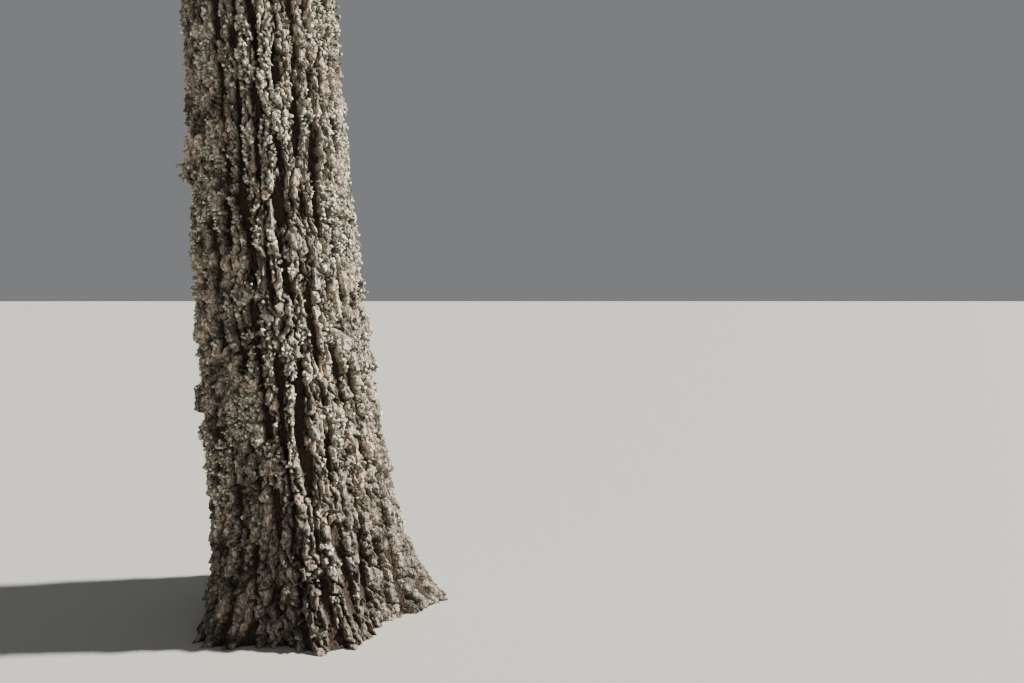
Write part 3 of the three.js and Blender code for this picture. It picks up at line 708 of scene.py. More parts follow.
# %% Old bark: weathered cork plates
def cork_plates(add, place, height):
    """The plates' colour, with the flakes, cracks and bent places that the rest of the bark uses too."""
    # Worn and fresh plates vary over about 60 mm, flakes over about 8 mm.
    broad = add("TexNoise", {"Vector": place, "Scale": 16.0, "Detail": 4.0, "Roughness": 0.6})
    stretch = add("Mapping", {"Vector": place, "Scale": (1, 1, 0.5)})
    flakes = add("TexVoronoi", {"Vector": stretch, "Scale": 120.0})
    worn = add("MapRange", {"Value": broad, "From Min": 0.38, "From Max": 0.62})
    fresh = add("MapRange", {"Value": broad, "From Min": 0.56, "From Max": 0.7})
    plate = add("Mix", {0: worn, 6: "#6c675c", 7: "#dccfbf"}, **COLOURS)
    plate = add("Mix", {0: fresh, 6: plate, 7: "#e5c8b0"}, **COLOURS)
    shade = add("MapRange", {"Value": flakes.outputs["Color"], "To Min": 0.68, "To Max": 1.25})
    # Cracks 3 mm wide part scales of 16 by 45 mm and are darkened there as painted shade.
    # Noise bends them, since a bare cell has straight sides.
    bends = add("TexNoise", {"Vector": place, "Scale": 45.0, "Detail": 3.0})
    bent = add("VectorMath", {0: bends.outputs["Color"], "Scale": 0.03}, operation="SCALE")
    moved = add("VectorMath", {0: place, 1: bent}, operation="ADD")
    upright = add("Mapping", {"Vector": moved, "Scale": (1, 1, 0.35)})
    scales = add("TexVoronoi", {"Vector": upright, "Scale": 62.0}, feature="DISTANCE_TO_EDGE")
    crack = add("MapRange", {"Value": scales, "From Max": 0.12, "To Min": 0.45})
    # Painted shade darkens the lowest 0.4 m, and the plates grow duller from 2.4 m up to 5.5 m.
    foot = add("MapRange", {"Value": height, "From Min": 0.1, "From Max": 0.55, "To Min": 0.55})
    high = add("MapRange", {"Value": height, "From Min": 2.4, "From Max": 5.5, "To Min": 1.0, "To Max": 0.66})
    # Painted shade at the foot, times the dulling with height.
    foot_shade_and_dulling = add("Math", {0: foot, 1: high}, operation="MULTIPLY")
    # Flake tone, painted shade in the cracks, and painted shade at the foot with dulling higher up.
    for factor in (shade, crack, foot_shade_and_dulling):
        plate = add("Mix", {0: 1.0, 6: plate, 7: factor}, **TIMES)
    return plate, flakes, crack, moved


def fissures_and_lichen(add, place, plate, flakes):
    """Darkens the plates' colour where the relief is low, as dirt and painted shade in the fissures, and tints it
    where the lichen mask is high.
    """
    relief = add("Attribute", attribute_name="relief").outputs["Fac"]
    crust = add("Attribute", attribute_name="lichen").outputs["Fac"]
    depth = add("MapRange", {"Value": relief, "From Min": 0.15, "From Max": 0.8})
    # Low relief takes a dark brown: partly dirt, partly painted shade in the fissures and gaps.
    fissure_dirt_and_shade = add("Mix", {0: depth, 6: "#3c322a", 7: plate}, **COLOURS)
    # The crust comes in spots of about 7 mm. The mask never fills, so bark shows in gaps between them.
    spots = add("TexNoise", {"Vector": place, "Scale": 140.0, "Detail": 3.0, "Roughness": 0.75})
    thin = add("Math", {0: crust, 1: 0.56}, operation="MULTIPLY")
    ragged = add("Math", {0: spots, 1: thin}, operation="ADD")
    cover = add("MapRange", {"Value": ragged, "From Min": 1.02, "From Max": 1.08})
    tint = add("Mix", {0: flakes.outputs["Color"], 6: "#727669", 7: "#c2c4b5"}, **COLOURS)
    return add("Mix", {0: cover, 6: fissure_dirt_and_shade, 7: tint}, **COLOURS)


# %% Young bark, and both on one trunk
def young_bark(add, place, moved, fine):
    """Orange where it has flaked. Returns its colour, the flakes' shading, and the noise of its age."""
    # Between the orange, older sheets about 0.4 m long are grey-pink.
    sheets = add("Mapping", {"Vector": place, "Scale": (7, 7, 2.4)})
    aged = add("TexNoise", {"Vector": sheets, "Scale": 1.0, "Detail": 6.0, "Roughness": 0.68})
    age = add("MapRange", {"Value": aged, "From Min": 0.42, "From Max": 0.62})
    peeled = add("Mix", {0: fine, 6: "#975a38", 7: "#c68c63"}, **COLOURS)
    orange = add("Mix", {0: age, 6: peeled, 7: "#8b7567"}, **COLOURS)
    # It peels in papery flakes of about 40 mm, each with its own tone and a dark edge.
    papery = add("TexVoronoi", {"Vector": moved, "Scale": 24.0})
    rims = add("TexVoronoi", {"Vector": moved, "Scale": 24.0}, feature="DISTANCE_TO_EDGE")
    tone = add("MapRange", {"Value": papery.outputs["Color"], "To Min": 0.7, "To Max": 1.2})
    rim = add("MapRange", {"Value": rims, "From Max": 0.07, "To Min": 0.5})
    shaded = add("Math", {0: tone, 1: rim}, operation="MULTIPLY")
    return add("Mix", {0: 1.0, 6: orange, 7: shaded}, **TIMES), shaded, aged


def trunk_bark():
    """Outer bark of old pine, cork that has cracked and weathered in the open, and thin bark above it."""
    material, shader, add, place = new_material("Weathered corky pine bark")
    height = add("SeparateXYZ", {0: place}).outputs["Z"]
    fine = add("TexNoise", {"Vector": place, "Scale": 110.0, "Detail": 5.0, "Roughness": 0.7})
    plate, flakes, crack, moved = cork_plates(add, place, height)
    old = fissures_and_lichen(add, place, plate, flakes)
    papery, shaded, aged = young_bark(add, place, moved, fine)
    swing = add("Math", {0: aged, 1: -7.0, 2: height}, operation="MULTIPLY_ADD")
    young = add("MapRange", {"Value": swing, "From Min": 2.6, "From Max": 6.6})
    whole = add("Mix", {0: young, 6: old, 7: papery}, **COLOURS)
    ripple = add("Math", {0: fine, 1: flakes}, operation="ADD")
    split = add("Math", {0: ripple, 1: crack}, operation="ADD")
    lifted = add("Math", {0: young, 1: shaded, 2: split}, operation="MULTIPLY_ADD")
    bump = add("Bump", {"Height": lifted, "Distance": 0.006})
    set_inputs(shader, {"Base Color": whole, "Normal": bump, "Roughness": 0.92, "Specular IOR Level": 0.25})
    return material


# %% Build the trunk
TRUNK_PIECES = [  # name, lowest and highest point, rows, columns
    ("trunk_bark_foot", 0.0, 0.72, 234, 416),
    ("trunk_bark_breast", 0.72, 1.44, 234, 416),
    ("trunk_bark_head", 1.44, 2.16, 234, 416),
    ("trunk_bark_middle", 2.16, 9.0, 440, 96),
    ("trunk_bark_high", 9.0, TRUNK_HEIGHT, 340, 64),
]
bark = trunk_bark()
for name, low, high, rows, columns in TRUNK_PIECES:
    rings, normals, raised, lichen = trunk_rings(low, high, rows, columns)
    points = np.concatenate([rings.reshape(-1, 3), rings[[0, -1]].mean(1)])
    mesh = mesh_from(name, points, *grid_faces(rows, columns))
    for mask, values in (("relief", raised), ("lichen", lichen)):
        values = np.append(values.ravel(), [0, 0]).astype(np.float32)
        mesh.attributes.new(mask, "FLOAT", "POINT").data.foreach_set("value", values)
    add_piece(mesh, [bark], ["trunk"])
    mesh.normals_split_custom_set_from_vertices(np.append(normals.reshape(-1, 3), [-UP, UP], 0))
    print(name, len(mesh.loops) - 2 * len(mesh.polygons), "triangles")

# %% [markdown]
# ## Leafy lichen
# What whitens the ridges in the photograph is leafy lichen: rosettes of crinkled lobes, each lobe 6
# to 15 mm across and lifted at its rim. A painted patch would stay flat in raking light, so the
# lobes are small crinkled cups, thrown over the bark where its lichen mask is high, in four greys.

# %% A plain skin
def plain_skin(name, code, bumps, detail, relief, roughness, specular):
    """One plain colour, with bumps per metre of a relief in metres that keep its gloss from being even."""
    material, shader, add, place = new_material(name)
    grain = add("TexNoise", {"Vector": place, "Scale": bumps, "Detail": detail})
    bump = add("Bump", {"Height": grain, "Distance": relief})
    gloss = {"Roughness": roughness, "Specular IOR Level": specular}
    set_inputs(shader, {"Base Color": code, "Normal": bump} | gloss)
    return material


# %% Scatter lichen lobes
LOBE_TRIES, LOBE_SEED, LOBE_CORNERS = 60000, 77, 5
LOBES_FROM, LOBES_TO = 0.15, 2.15  # height
LOBE_RADII, LOBE_LIFTS, LOBE_HOLLOW, LOBE_FOOT = (0.0032, 0.0075), (0.0004, 0.0045), 0.001, 0.005
LICHEN_SKIN = dict(bumps=350.0, detail=3.0, relief=0.001, roughness=0.95, specular=0.2)
LOBE_TINTS = {"pale": "#dbd9cb", "grey": "#bab9aa", "green": "#999c88", "dull": "#7c7d6e"}
LOBE_SHARES = [0.3, 0.32, 0.22, 0.16]


def repeated(faces, count, points_each):
    """The same faces for each of count shapes, whose points follow one another."""
    return (faces[None] + points_each * np.arange(count)[:, None, None]).reshape(-1, faces.shape[1])


def lichen_lobes(random):
    """Cups of rim points, a middle and a foot: middle + side * r * cos + rise * r * sin + out * crinkle."""
    z = random.uniform(LOBES_FROM, LOBES_TO, LOBE_TRIES)
    angle = random.uniform(0, 2 * np.pi, LOBE_TRIES)
    middle, _, lichen = trunk_points(z, angle)
    kept = lichen > random.uniform(0.25, 1.25, LOBE_TRIES)
    z, angle, middle, shape = z[kept], angle[kept], middle[kept], (int(kept.sum()), LOBE_CORNERS)
    side = unit(trunk_points(z, angle + 0.02)[0] - middle)
    out = unit(np.cross(side, trunk_points(z + 0.005, angle)[0] - middle) + random.normal(0, 0.25, (len(z), 3)))
    side = unit(np.cross(UP, out))
    rise = np.cross(out, side)
    here = np.arange(LOBE_CORNERS)
    turn = 2 * np.pi * (here + random.uniform(-0.3, 0.3, shape)) / LOBE_CORNERS
    size = random.uniform(*LOBE_RADII, (len(z), 1)) * random.uniform(0.7, 1.3, shape)
    lift = random.uniform(*LOBE_LIFTS, shape)
    rim = middle[:, None] + side[:, None] * (size * np.cos(turn))[..., None]
    rim = rim + rise[:, None] * (size * np.sin(turn))[..., None] + out[:, None] * lift[..., None]
    points = np.concatenate([rim, (middle + out * LOBE_HOLLOW)[:, None], (middle - out * LOBE_FOOT)[:, None]], 1)
    following, centre = np.roll(here, -1), np.full(LOBE_CORNERS, LOBE_CORNERS)
    cup = np.concatenate([np.stack([here, following, centre], 1), np.stack([following, here, centre + 1], 1)])
    return points.reshape(-1, 3), repeated(cup, len(z), LOBE_CORNERS + 2)


random = np.random.default_rng(LOBE_SEED)
points, faces = lichen_lobes(random)
tint = random.choice(len(LOBE_TINTS), len(faces) // (2 * LOBE_CORNERS), p=LOBE_SHARES)
# Dry lichen is matt and crinkled. Four tints let one lobe stand out from the next.
lobe_tints = [plain_skin(f"Leafy lichen, {name}", code, **LICHEN_SKIN) for name, code in LOBE_TINTS.items()]
mesh = mesh_from("lichen_lobes", points, faces)
add_piece(mesh, lobe_tints, picks=np.repeat(tint, 2 * LOBE_CORNERS), smooth=False)
print(len(tint), "lichen lobes,", len(faces), "triangles")

# %% [markdown]
# ## Limbs as tubes
# A bough, a twig and a stem are one shape at different sizes: a ring of points carried along a path.
# Working out every tube of a kind at once, as one table of rings, costs no more than one tube.

# %% Tubes and spikes
def spokes(side, over, turn):
    """side * cos(turn) + over * sin(turn), for each turn about each line that side and over are square to."""
    return side[..., None, :] * np.cos(turn)[..., None] + over[..., None, :] * np.sin(turn)[..., None]


def tubes(paths, radii, sides):
    """Closed tubes: rings of points at path + radius * spoke, joined by triangles.

    paths is (tubes, steps, 3) and radii (tubes, steps) or (tubes, steps, sides).
    """
    count, steps = paths.shape[:2]
    along = unit(np.gradient(paths, axis=1))
    span = paths[:, -1:] - paths[:, :1]
    upright = np.abs(span[..., 2:]) > 0.9 * np.linalg.norm(span, axis=-1, keepdims=True)
    side = unit(np.cross(along, np.where(upright, [1.0, 0, 0], UP) + 0 * along))
    radii = radii[..., None] if radii.ndim == 2 else radii
    turn = 2 * np.pi * np.arange(sides) / sides
    rings = paths[:, :, None] + spokes(side, np.cross(along, side), turn) * radii[..., None]
    points = np.concatenate([rings.reshape(count, -1, 3), paths[:, [0, -1]]], 1)
    quads, fans = grid_faces(steps, sides)
    one = np.concatenate([quads[:, :3], quads[:, [0, 2, 3]], fans])
    return points.reshape(-1, 3), repeated(one, count, points.shape[1])


def spikes(bases, tips, radius, closed=True):
    """Slim spikes: a triangle of three corners round each base, and a tip.

    One whose base is sunk in a shoot needs no face there, so it isn't closed and has three faces.
    """
    along = unit(tips - bases)
    side = unit(np.cross(along, np.where(np.abs(along[:, 2:]) > 0.8, [1.0, 0, 0], UP)))
    corners = bases[:, None] + radius * spokes(side, np.cross(along, side), 2 * np.pi * np.arange(3) / 3)
    points = np.concatenate([corners, tips[:, None]], 1).reshape(-1, 3)
    one = np.array([[0, 1, 3], [1, 2, 3], [2, 0, 3], [2, 1, 0]])[: 4 if closed else 3]
    return points, repeated(one, len(bases), 4)


def joined(shapes):
    """Several (points, triangles) as one."""
    offsets = np.cumsum([0] + [len(points) for points, _ in shapes[:-1]])
    return np.concatenate([p for p, _ in shapes]), np.concatenate([f + o for (_, f), o in zip(shapes, offsets)])


# %% [markdown]
# ## Bark of boughs, twigs and dead wood
# Above head height a Scots pine is known by its orange bark, thin as paper, that peels in small
# curls. Shoots of the last years are still grey-brown, and a dead snag has lost its bark and
# bleaches to silver.

# %% Peeling orange bark, young bark and bleached wood
def thin_bark(name, dark, pale, worn, size, roughness):
    """Two bark colours in flecks of a size in metres, with a third where the noise peaks."""
    material, shader, add, place = new_material(name)
    fleck = add("TexNoise", {"Vector": place, "Scale": 1 / size, "Detail": 5.0, "Roughness": 0.62})
    spread = add("MapRange", {"Value": fleck, "From Min": 0.36, "From Max": 0.64})
    peak = add("MapRange", {"Value": fleck, "From Min": 0.58, "From Max": 0.72})
    colour = add("Mix", {0: spread, 6: dark, 7: pale}, **COLOURS)
    colour = add("Mix", {0: peak, 6: colour, 7: worn}, **COLOURS)
    bump = add("Bump", {"Height": fleck, "Distance": 0.15 * size})
    set_inputs(shader, {"Base Color": colour, "Normal": bump, "Roughness": roughness, "Specular IOR Level": 0.3})
    return material


# Flakes of peeling bark are 30 mm, ridges on twigs 6 mm, and weather cracks in bare wood 9 mm.
bough_bark = thin_bark("Peeling orange pine bark", "#8a5334", "#c07f52", "#a99a8c", 0.03, 0.85)
twig_bark = thin_bark("Young grey-brown twig bark", "#5d4a3c", "#8a7057", "#a08468", 0.006, 0.8)
bleached_wood = thin_bark("Weathered dead pine wood", "#6f6a64", "#a39d95", "#8d7a69", 0.009, 0.9)

# %% [markdown]
# ## Boughs
# Each bough's tube starts inside the trunk and follows the solid's path, with small bends of its own
# that fade at both ends, and flaky bark as a few millimetres of noise on its radius.

# %% Build the boughs
FLAKE_LENGTH = 0.07
BOUGH_TUBE = dict(sides=14, spacing=0.02, bends=0.045, flakes=0.2)


def limb(point_at, radius_at, length, seed, sides, spacing, bends, flakes):
    """One tube along point_at from share 0 to 1, bent by sines that are zero at both ends."""
    share = np.linspace(0, 1, int(np.ceil(length / spacing)) + 1)
    path = point_at(share)
    side = unit(np.cross(path[-1] - path[0], UP))
    random = np.random.default_rng(seed)
    for wave in (2, 3, 5):
        swing = np.sin(np.pi * wave * share)[:, None] * np.sin(np.pi * share)[:, None] * bends * length / wave
        path = path + swing * (side * random.uniform(-1, 1) + UP * random.uniform(-1, 1))
    turn = 2 * np.pi * np.arange(sides) / sides
    along = (share * length / FLAKE_LENGTH)[:, None]
    around = np.stack(np.broadcast_arrays(np.cos(turn) * 2, np.sin(turn) * 2, along), -1)
    radii = radius_at(share)[:, None] * (1 + flakes * rough_noise(around, seed, 3, 0.6))
    return tubes(path[None], radii[None], sides)


for bough, mass in zip(boughs, masses):
    bare = lambda curve: lambda share: curve(share * bough.bare)
    length = bough.reach * bough.bare
    points, faces = limb(bare(bough.point_at), bare(bough.radius_at), length, bough.seed, **BOUGH_TUBE)
    mesh = mesh_from("bough_bark_" + mass.name, points, faces)
    add_piece(mesh, [bough_bark], ["bough_" + mass.name])
print(len(boughs), "boughs of about", len(faces), "triangles")

# %% [markdown]
# ## Snags
# Boughs that died in the shade of the wood snap off and leave bleached stubs, with a few broken side
# twigs.

# %% Build the snags
SNAG_TUBE = dict(sides=10, spacing=0.03, bends=0.03, flakes=0.25)
BROKEN_TWIGS, BROKEN_TWIG_RADIUS, BROKEN_TWIG_LENGTHS = 5, 0.004, (0.08, 0.24)

for number, snag in enumerate(snags):
    radius_at = lambda s: mix(SNAG_RADIUS, SNAG_TIP_RADIUS, s)
    shapes = [limb(snag.point_at, radius_at, snag.length, SNAG_SEED + number, **SNAG_TUBE)]
    random = np.random.default_rng(SNAG_SEED + number)
    starts = snag.point_at(np.sort(random.uniform(0.35, 0.95, BROKEN_TWIGS)))
    forward = unit(snag.point_at(1) - snag.point_at(0))
    aim = unit(0.6 * forward + random.normal(0, 0.6, (BROKEN_TWIGS, 3)) * [1, 1, 0.5])
    ends = starts + aim * random.uniform(*BROKEN_TWIG_LENGTHS, (BROKEN_TWIGS, 1))
    shapes.append(spikes(starts, ends, BROKEN_TWIG_RADIUS))
    mesh = mesh_from(f"snag_wood_{number + 1}", *joined(shapes))
    add_piece(mesh, [bleached_wood], [f"snag_{number + 1}"])
print(len(snags), "snags, each with", BROKEN_TWIGS, "broken twigs")

# %% [markdown]
# ## Finer twigs between the solids' sprays
# The solids have about eight sprays a mass, which is what their budget of faces allows. The real
# mass is a flat cloud, so the rule is carried on: a new spray is tried wherever there is most room
# left, on a thin twig back to the nearest stem or twig, under the same tests of space and limbs.

# %% Fill each mass with finer sprays
FINE_SPRAYS, FINE_TRIES, FINE_CHOICES, FINE_SEED = 22, 70, 9, 3000
FULL_HALF_WIDTH, MOST_SPRAYS = 0.95, 1.15
FINE_SIZE, FINE_APART, FINE_LIFT, FINE_OUTWARDS, FINE_IN_SPRAY = 0.4, 0.24, 0.42, 0.3, 0.04


def fill_mass(number, mass):
    """Adds fine twigs and sprays. Each is the best of a few random points: the one furthest from the rest."""
    random = np.random.default_rng(FINE_SEED + mass.seed)
    space = spaces[number]
    stem = mass.stem_at(np.linspace(0.05, 1, 12))
    along = [a + (b - a) * share for a, b in mass.twigs for share in np.linspace(0.15, 0.9, 6)[:, None]]
    carriers = np.concatenate([stem, np.array(along)])
    middles, sizes = [s.middle for s in mass.sprays], [s.size for s in mass.sprays]
    mass.fine_twigs, mass.fine_sprays = [], []
    wanted = round(FINE_SPRAYS * min(MOST_SPRAYS, space.halves[1] / FULL_HALF_WIDTH))
    for _ in range(FINE_TRIES):
        if len(mass.fine_sprays) >= wanted:
            break
        away = unit(random.normal(0, 1, (FINE_CHOICES, 3)))
        away[:, 2] = np.abs(away[:, 2]) - 0.3
        points = space.centre + (away * random.uniform(0.35, 0.95, (FINE_CHOICES, 1)) * space.halves) @ space.axes
        room = np.linalg.norm(points[:, None] - np.array(middles), axis=2).min(1)
        middle = points[room.argmax()]
        base = carriers[np.linalg.norm(carriers - middle, axis=1).argmin()]
        way = middle - base
        length = np.linalg.norm(way)
        size = FINE_SIZE * random.uniform(0.8, 1.15)
        if length < 0.4 * size:
            continue
        direction = unit(way / length + UP * FINE_LIFT + FINE_OUTWARDS * unit(middle - space.centre))
        start, tip = middle - direction * 0.5 * size, middle + direction * 0.5 * size
        flank = unit(np.cross(direction, UP))
        rim = [middle + w * SPRAY_GIRTH * size for w in (flank, -flank, UP)]
        far = (np.linalg.norm(np.array(middles) - middle, axis=1) > FINE_APART * (size + np.array(sizes))).all()
        if far and stays_in(number, [tip, *rim]) and clear_of_limbs(middle, tip, SPRAY_GIRTH * size):
            turn = random.uniform(0, 6.28)
            mass.fine_sprays.append(SimpleNamespace(start=start, direction=direction, size=size, turn=turn))
            mass.fine_twigs.append((base, start + direction * FINE_IN_SPRAY))
            middles.append(middle)
            sizes.append(size)


for number, mass in enumerate(masses):
    fill_mass(number, mass)
print(sum(len(m.fine_sprays) for m in masses), "finer sprays")

# %% [markdown]
# ## From a spray to shoots
# In the solids a spray is one star. Here the same axis carries side branchlets at the golden angle,
# each with a shoot at its end and one or two beside it, mostly 6 to 13 cm long. They stay in the
# star's own length and width. A table of sprays by branchlets by shoots is worked out at once.

# %% Grow the shoots of sprays
# As shares of the spray's length: where branchlets start, how far forward they go, and how far out.
BRANCHLETS_FROM, BRANCHLETS_SPAN, BRANCHLET_AHEAD, BRANCHLET_REACH = 0.12, 0.58, 0.2, 0.27
CROWNING_SHOOTS = 4  # round the one at the tip


def bent_path(starts, ends, sag, steps):
    """From start to end: straight, minus sag times length times a half sine."""
    share = np.linspace(0, 1, steps)[:, None]
    length = np.linalg.norm(ends - starts, axis=-1)[..., None, None]
    straight = starts[..., None, :] * (1 - share) + ends[..., None, :] * share
    return straight - UP * sag * length * np.sin(np.pi * share)


def grow_shoots(sprays, branchlets, sides, shoot, random):
    """Axes and branchlets as paths, and shoots as bases, aims, lengths and the spray they are on.

    sides lists the (place, way) of the shoots beside a branchlet, and shoot is a shoot's length as a
    share of its spray's.
    """
    start, axis = np.array([s.start for s in sprays]), np.array([s.direction for s in sprays])
    size, turn = np.array([[s.size, s.turn] for s in sprays]).T[..., None]
    count = len(sprays)
    flank = unit(np.cross(axis, UP))
    over = np.cross(flank, axis)
    axis_end = start + axis * (1 - shoot) * size
    axes = bent_path(start, axis_end, 0.0, 4)

    step = (np.arange(branchlets) + random.uniform(0, 0.6, (count, branchlets))) / branchlets
    foot = BRANCHLETS_FROM + BRANCHLETS_SPAN * step
    angle = turn + GOLDEN_ANGLE * np.arange(branchlets) + random.uniform(-0.4, 0.4, (count, branchlets))
    head = foot + BRANCHLET_AHEAD + 0.06 * random.uniform(-1, 1, foot.shape)
    reach = BRANCHLET_REACH * (0.62 + 0.38 * step) * random.uniform(0.8, 1.1, foot.shape)
    base = start[:, None] + axis[:, None] * (foot * size)[..., None]
    end = start[:, None] + axis[:, None] * (head * size)[..., None]
    end = end + spokes(flank, over, angle) * (reach * size)[..., None]
    paths = bent_path(base, end, 0.05, 3)

    heading = unit(end - base)
    beside = unit(np.cross(heading, UP))
    bases, aims = [end], [unit(heading + UP * 0.3)]
    for place, way in sides:
        lift = UP * random.uniform(0.1, 0.5, (count, branchlets, 1))
        bases.append(base * (1 - place) + end * place)
        aims.append(unit(heading * 0.75 + beside * way * 0.62 + lift))
    ring = angle[:, :1] + 2 * np.pi * np.arange(CROWNING_SHOOTS) / CROWNING_SHOOTS
    around = spokes(flank, over, ring)
    bases += [np.broadcast_to((axis_end - axis * 0.02)[:, None], around.shape), axis_end]
    aims += [unit(axis[:, None] * 0.8 + around * 0.62 + UP * 0.15), unit(axis + UP * 0.1)]
    owners = [np.repeat(np.arange(count), b.size // 3 // count) for b in bases]
    bases, aims = (np.concatenate([table.reshape(-1, 3) for table in tables]) for tables in (bases, aims))
    owners = np.concatenate(owners)
    lengths = shoot * size[owners, 0] * random.uniform(0.72, 1.05, len(owners))
    return axes, paths.reshape(-1, 3, 3), SimpleNamespace(bases=bases, aims=aims, lengths=lengths, owners=owners)


# %% [markdown]
# ## Needles
# Scots pine needles stand in pairs, 4 to 7 cm long and under 2 mm wide, for two or three years of
# each shoot. The real tree has millions. Here each is a spike of three faces sunk in its shoot, almost
# 4 mm wide so that fewer give the same cover. They turn by the golden angle, wide at the shoot's foot
# and forward at its tip. Colours have to stay on their needles when the model is exported, so each
# spray takes one of five plain tints, darker for old foliage and yellower for new.

# %% Needles on every shoot
NEEDLES_PER_SHOOT, NEEDLE_FACES = 23, 3
NEEDLE_LENGTH, NEEDLE_RADIUS = 0.07, 0.0019
FOOT_SPREAD, TIP_SPREAD = 66, 24  # degrees from the shoot


def needles_on(shoots, random):
    """Bases and tips of the needles: tip = base + length * (aim * cos(spread) + round * sin(spread))."""
    shape = (len(shoots.bases), NEEDLES_PER_SHOOT)
    place = (np.arange(NEEDLES_PER_SHOOT) + random.uniform(0, 1, shape)) / NEEDLES_PER_SHOOT
    flank = unit(np.cross(shoots.aims, UP + 1e-6))
    turn = GOLDEN_ANGLE * np.arange(NEEDLES_PER_SHOOT) + random.uniform(0, 2 * np.pi, (shape[0], 1))
    spread = np.radians(mix(FOOT_SPREAD, TIP_SPREAD, place**1.3) + random.uniform(-8, 8, shape))[..., None]
    around = spokes(flank, np.cross(flank, shoots.aims), turn)
    aim = shoots.aims[:, None] * np.cos(spread) + around * np.sin(spread)
    bases = shoots.bases[:, None] + shoots.aims[:, None] * (place * shoots.lengths[:, None])[..., None]
    size = (NEEDLE_LENGTH * random.uniform(0.8, 1.12, shape))[..., None]
    return bases.reshape(-1, 3), (bases + aim * size).reshape(-1, 3)


# %% Needle tints
TINTS = {"old": "#4a5c38", "deep": "#56693c", "middle": "#677944", "bluish": "#5f7853", "new": "#7d8a4b"}
TINT_SHARES = [0.18, 0.26, 0.28, 0.16, 0.12]
# Waxy leaf skin has a soft gloss, which a faint relief breaks up so that no needle looks like plastic.
NEEDLE_SKIN = dict(bumps=400.0, detail=2.0, relief=0.0003, roughness=0.62, specular=0.22)
needle_tints = [plain_skin(f"Waxy pine needle, {name}", code, **NEEDLE_SKIN) for name, code in TINTS.items()]
print(len(needle_tints), "tints")

# %% Build the foliage
FULL_RULE = (8, [(0.42, -1), (0.74, 1)], 0.205)  # branchlets, shoots beside each, a shoot's share of its spray
FINE_RULE = (4, [(0.5, 1)], 0.3)
SHOOT_RADIUS = 0.0028
# First and last radius, and sides.
AXIS_TUBE, BRANCHLET_TUBE = (0.0055, 0.003, 4), (0.0036, 0.0026, 3)
TWIG_TUBE, FINE_TWIG_TUBE = (0.010, 0.005, 6), (0.0065, 0.0045, 4)
TWIG_SAG, FINE_TWIG_SAG = 0.05, 0.08


def tapered(paths, first, last, sides):
    """Tubes whose radius falls evenly along every path."""
    return tubes(paths, np.broadcast_to(np.linspace(first, last, paths.shape[1]), paths.shape[:2]), sides)


needle_total = twig_total = 0
for mass in masses:
    random = np.random.default_rng(MASS_SEED + mass.seed)
    needles, thin, tints = [], [], []
    for sprays, rule in ((mass.sprays, FULL_RULE), (mass.fine_sprays, FINE_RULE)):
        axes, paths, shoots = grow_shoots(sprays, *rule, random)
        needles.append(spikes(*needles_on(shoots, random), NEEDLE_RADIUS, closed=False))
        tint_of_spray = random.choice(len(needle_tints), len(sprays), p=TINT_SHARES)
        tints.append(np.repeat(tint_of_spray[shoots.owners], NEEDLES_PER_SHOOT * NEEDLE_FACES))
        shoot_tips = shoots.bases + shoots.aims * shoots.lengths[:, None]
        thin += [tapered(axes, *AXIS_TUBE), tapered(paths, *BRANCHLET_TUBE)]
        thin.append(spikes(shoots.bases, shoot_tips, SHOOT_RADIUS, closed=False))
    mesh = mesh_from("needles_" + mass.name, *joined(needles))
    add_piece(mesh, needle_tints, ["foliage_" + mass.name], np.concatenate(tints), smooth=False)
    needle_total += len(mesh.polygons)

    share = np.linspace(0, 1, 14)
    twigs, fine_twigs = (np.array(pairs).transpose(1, 0, 2) for pairs in (mass.twigs, mass.fine_twigs))
    thick = [
        tubes(mass.stem_at(share)[None], mix(mass.stem_radius, 0.007, share**0.8)[None], 8),
        tapered(bent_path(*twigs, TWIG_SAG, 7), *TWIG_TUBE),
        tapered(bent_path(*fine_twigs, FINE_TWIG_SAG, 5), *FINE_TWIG_TUBE),
    ]
    mesh = mesh_from("twigs_" + mass.name, *joined(thick + thin))
    is_thin = np.arange(len(mesh.polygons)) >= sum(len(faces) for _, faces in thick)
    add_piece(mesh, [bough_bark, twig_bark], ["foliage_" + mass.name], is_thin)
    twig_total += len(is_thin)
print("needles:", needle_total, "triangles; twigs:", twig_total, "triangles")

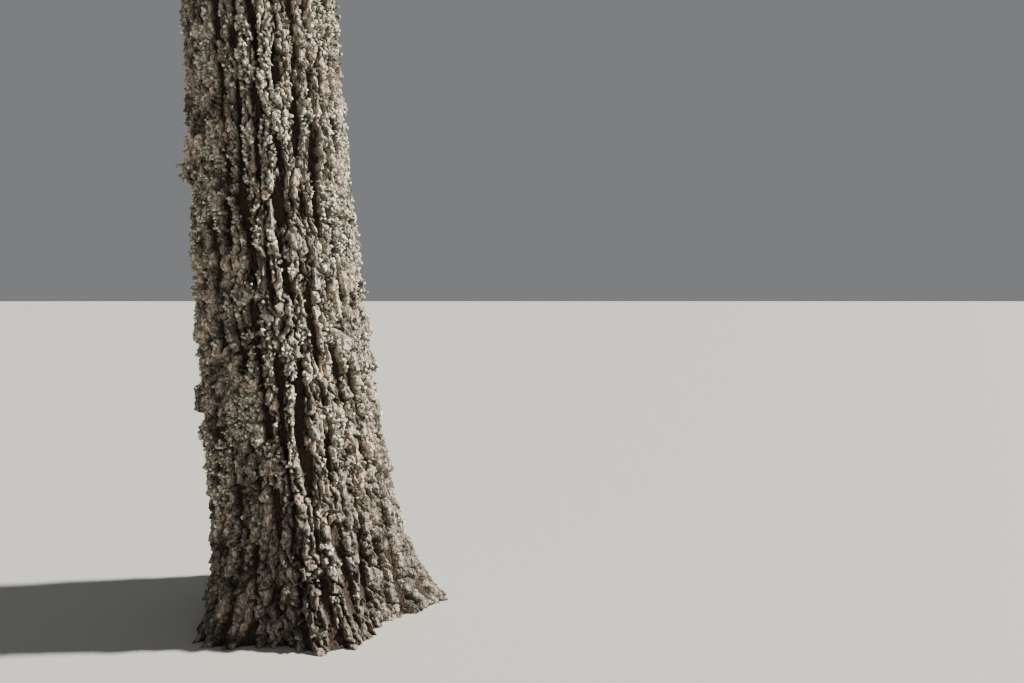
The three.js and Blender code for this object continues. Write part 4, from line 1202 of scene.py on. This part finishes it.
# %% [markdown]
# ## Floor, light and camera
# A plain pale floor and one soft key light from the right, where the sun stood, keep the eye on the
# tree. The camera stands 0.94 m above the ground and 2.2 m from the trunk, as the photographer's did,
# and looks past it to the right.

# %% Stage
FLOOR_RADIUS, FLOOR_CORNERS = 900.0, 128  # a disc, so that the horizon is level from every side


turn = 2 * np.pi * np.arange(FLOOR_CORNERS) / FLOOR_CORNERS
rim = FLOOR_RADIUS * np.stack([np.cos(turn), np.sin(turn), 0 * turn], -1)
floor = add_object("floor", mesh_from("floor", rim, np.arange(FLOOR_CORNERS)[None]))
FLOOR_SKIN = dict(bumps=60.0, detail=3.0, relief=0.0004, roughness=0.8, specular=0.5)
floor.data.materials.append(plain_skin("Pale matt studio floor", "#b9b7b2", **FLOOR_SKIN))

# %% Light
SKY_COLOUR, SKY_STRENGTH = "#e6e9ec", 0.26
SUN_ENERGY, SUN_WIDTH, SUN_COLOUR = 12.3, np.radians(3), (1.0, 0.96, 0.88)
SUN_SHINES_TO = (-1.0, 0.22, -0.66)

world = bpy.data.worlds.new("Soft studio sky")
bpy.context.scene.world = world
world.use_nodes = True
set_inputs(world.node_tree.nodes["Background"], {"Color": SKY_COLOUR, "Strength": SKY_STRENGTH})
key = add_object("key", bpy.data.lights.new("key", "SUN"))
key.data.energy, key.data.angle, key.data.color = SUN_ENERGY, SUN_WIDTH, SUN_COLOUR
key.rotation_euler = Vector(SUN_SHINES_TO).to_track_quat("-Z", "Y").to_euler()

# %% Camera
CAMERA_PLACE = (-0.10, -2.276, 0.94)
CAMERA_DOWN, CAMERA_RIGHT = 3.26, 17.83  # degrees below the horizon, and to the right of straight ahead
FILM_WIDTH, FOCAL_LENGTH = 36.0, 25.3  # mm

camera = add_object("camera", bpy.data.cameras.new("camera"))
camera.data.sensor_width, camera.data.lens, camera.data.clip_end = FILM_WIDTH, FOCAL_LENGTH, 1000.0
camera.location = CAMERA_PLACE
camera.rotation_euler = Euler((np.radians(90 - CAMERA_DOWN), 0, np.radians(-CAMERA_RIGHT)))
bpy.context.scene.camera = camera
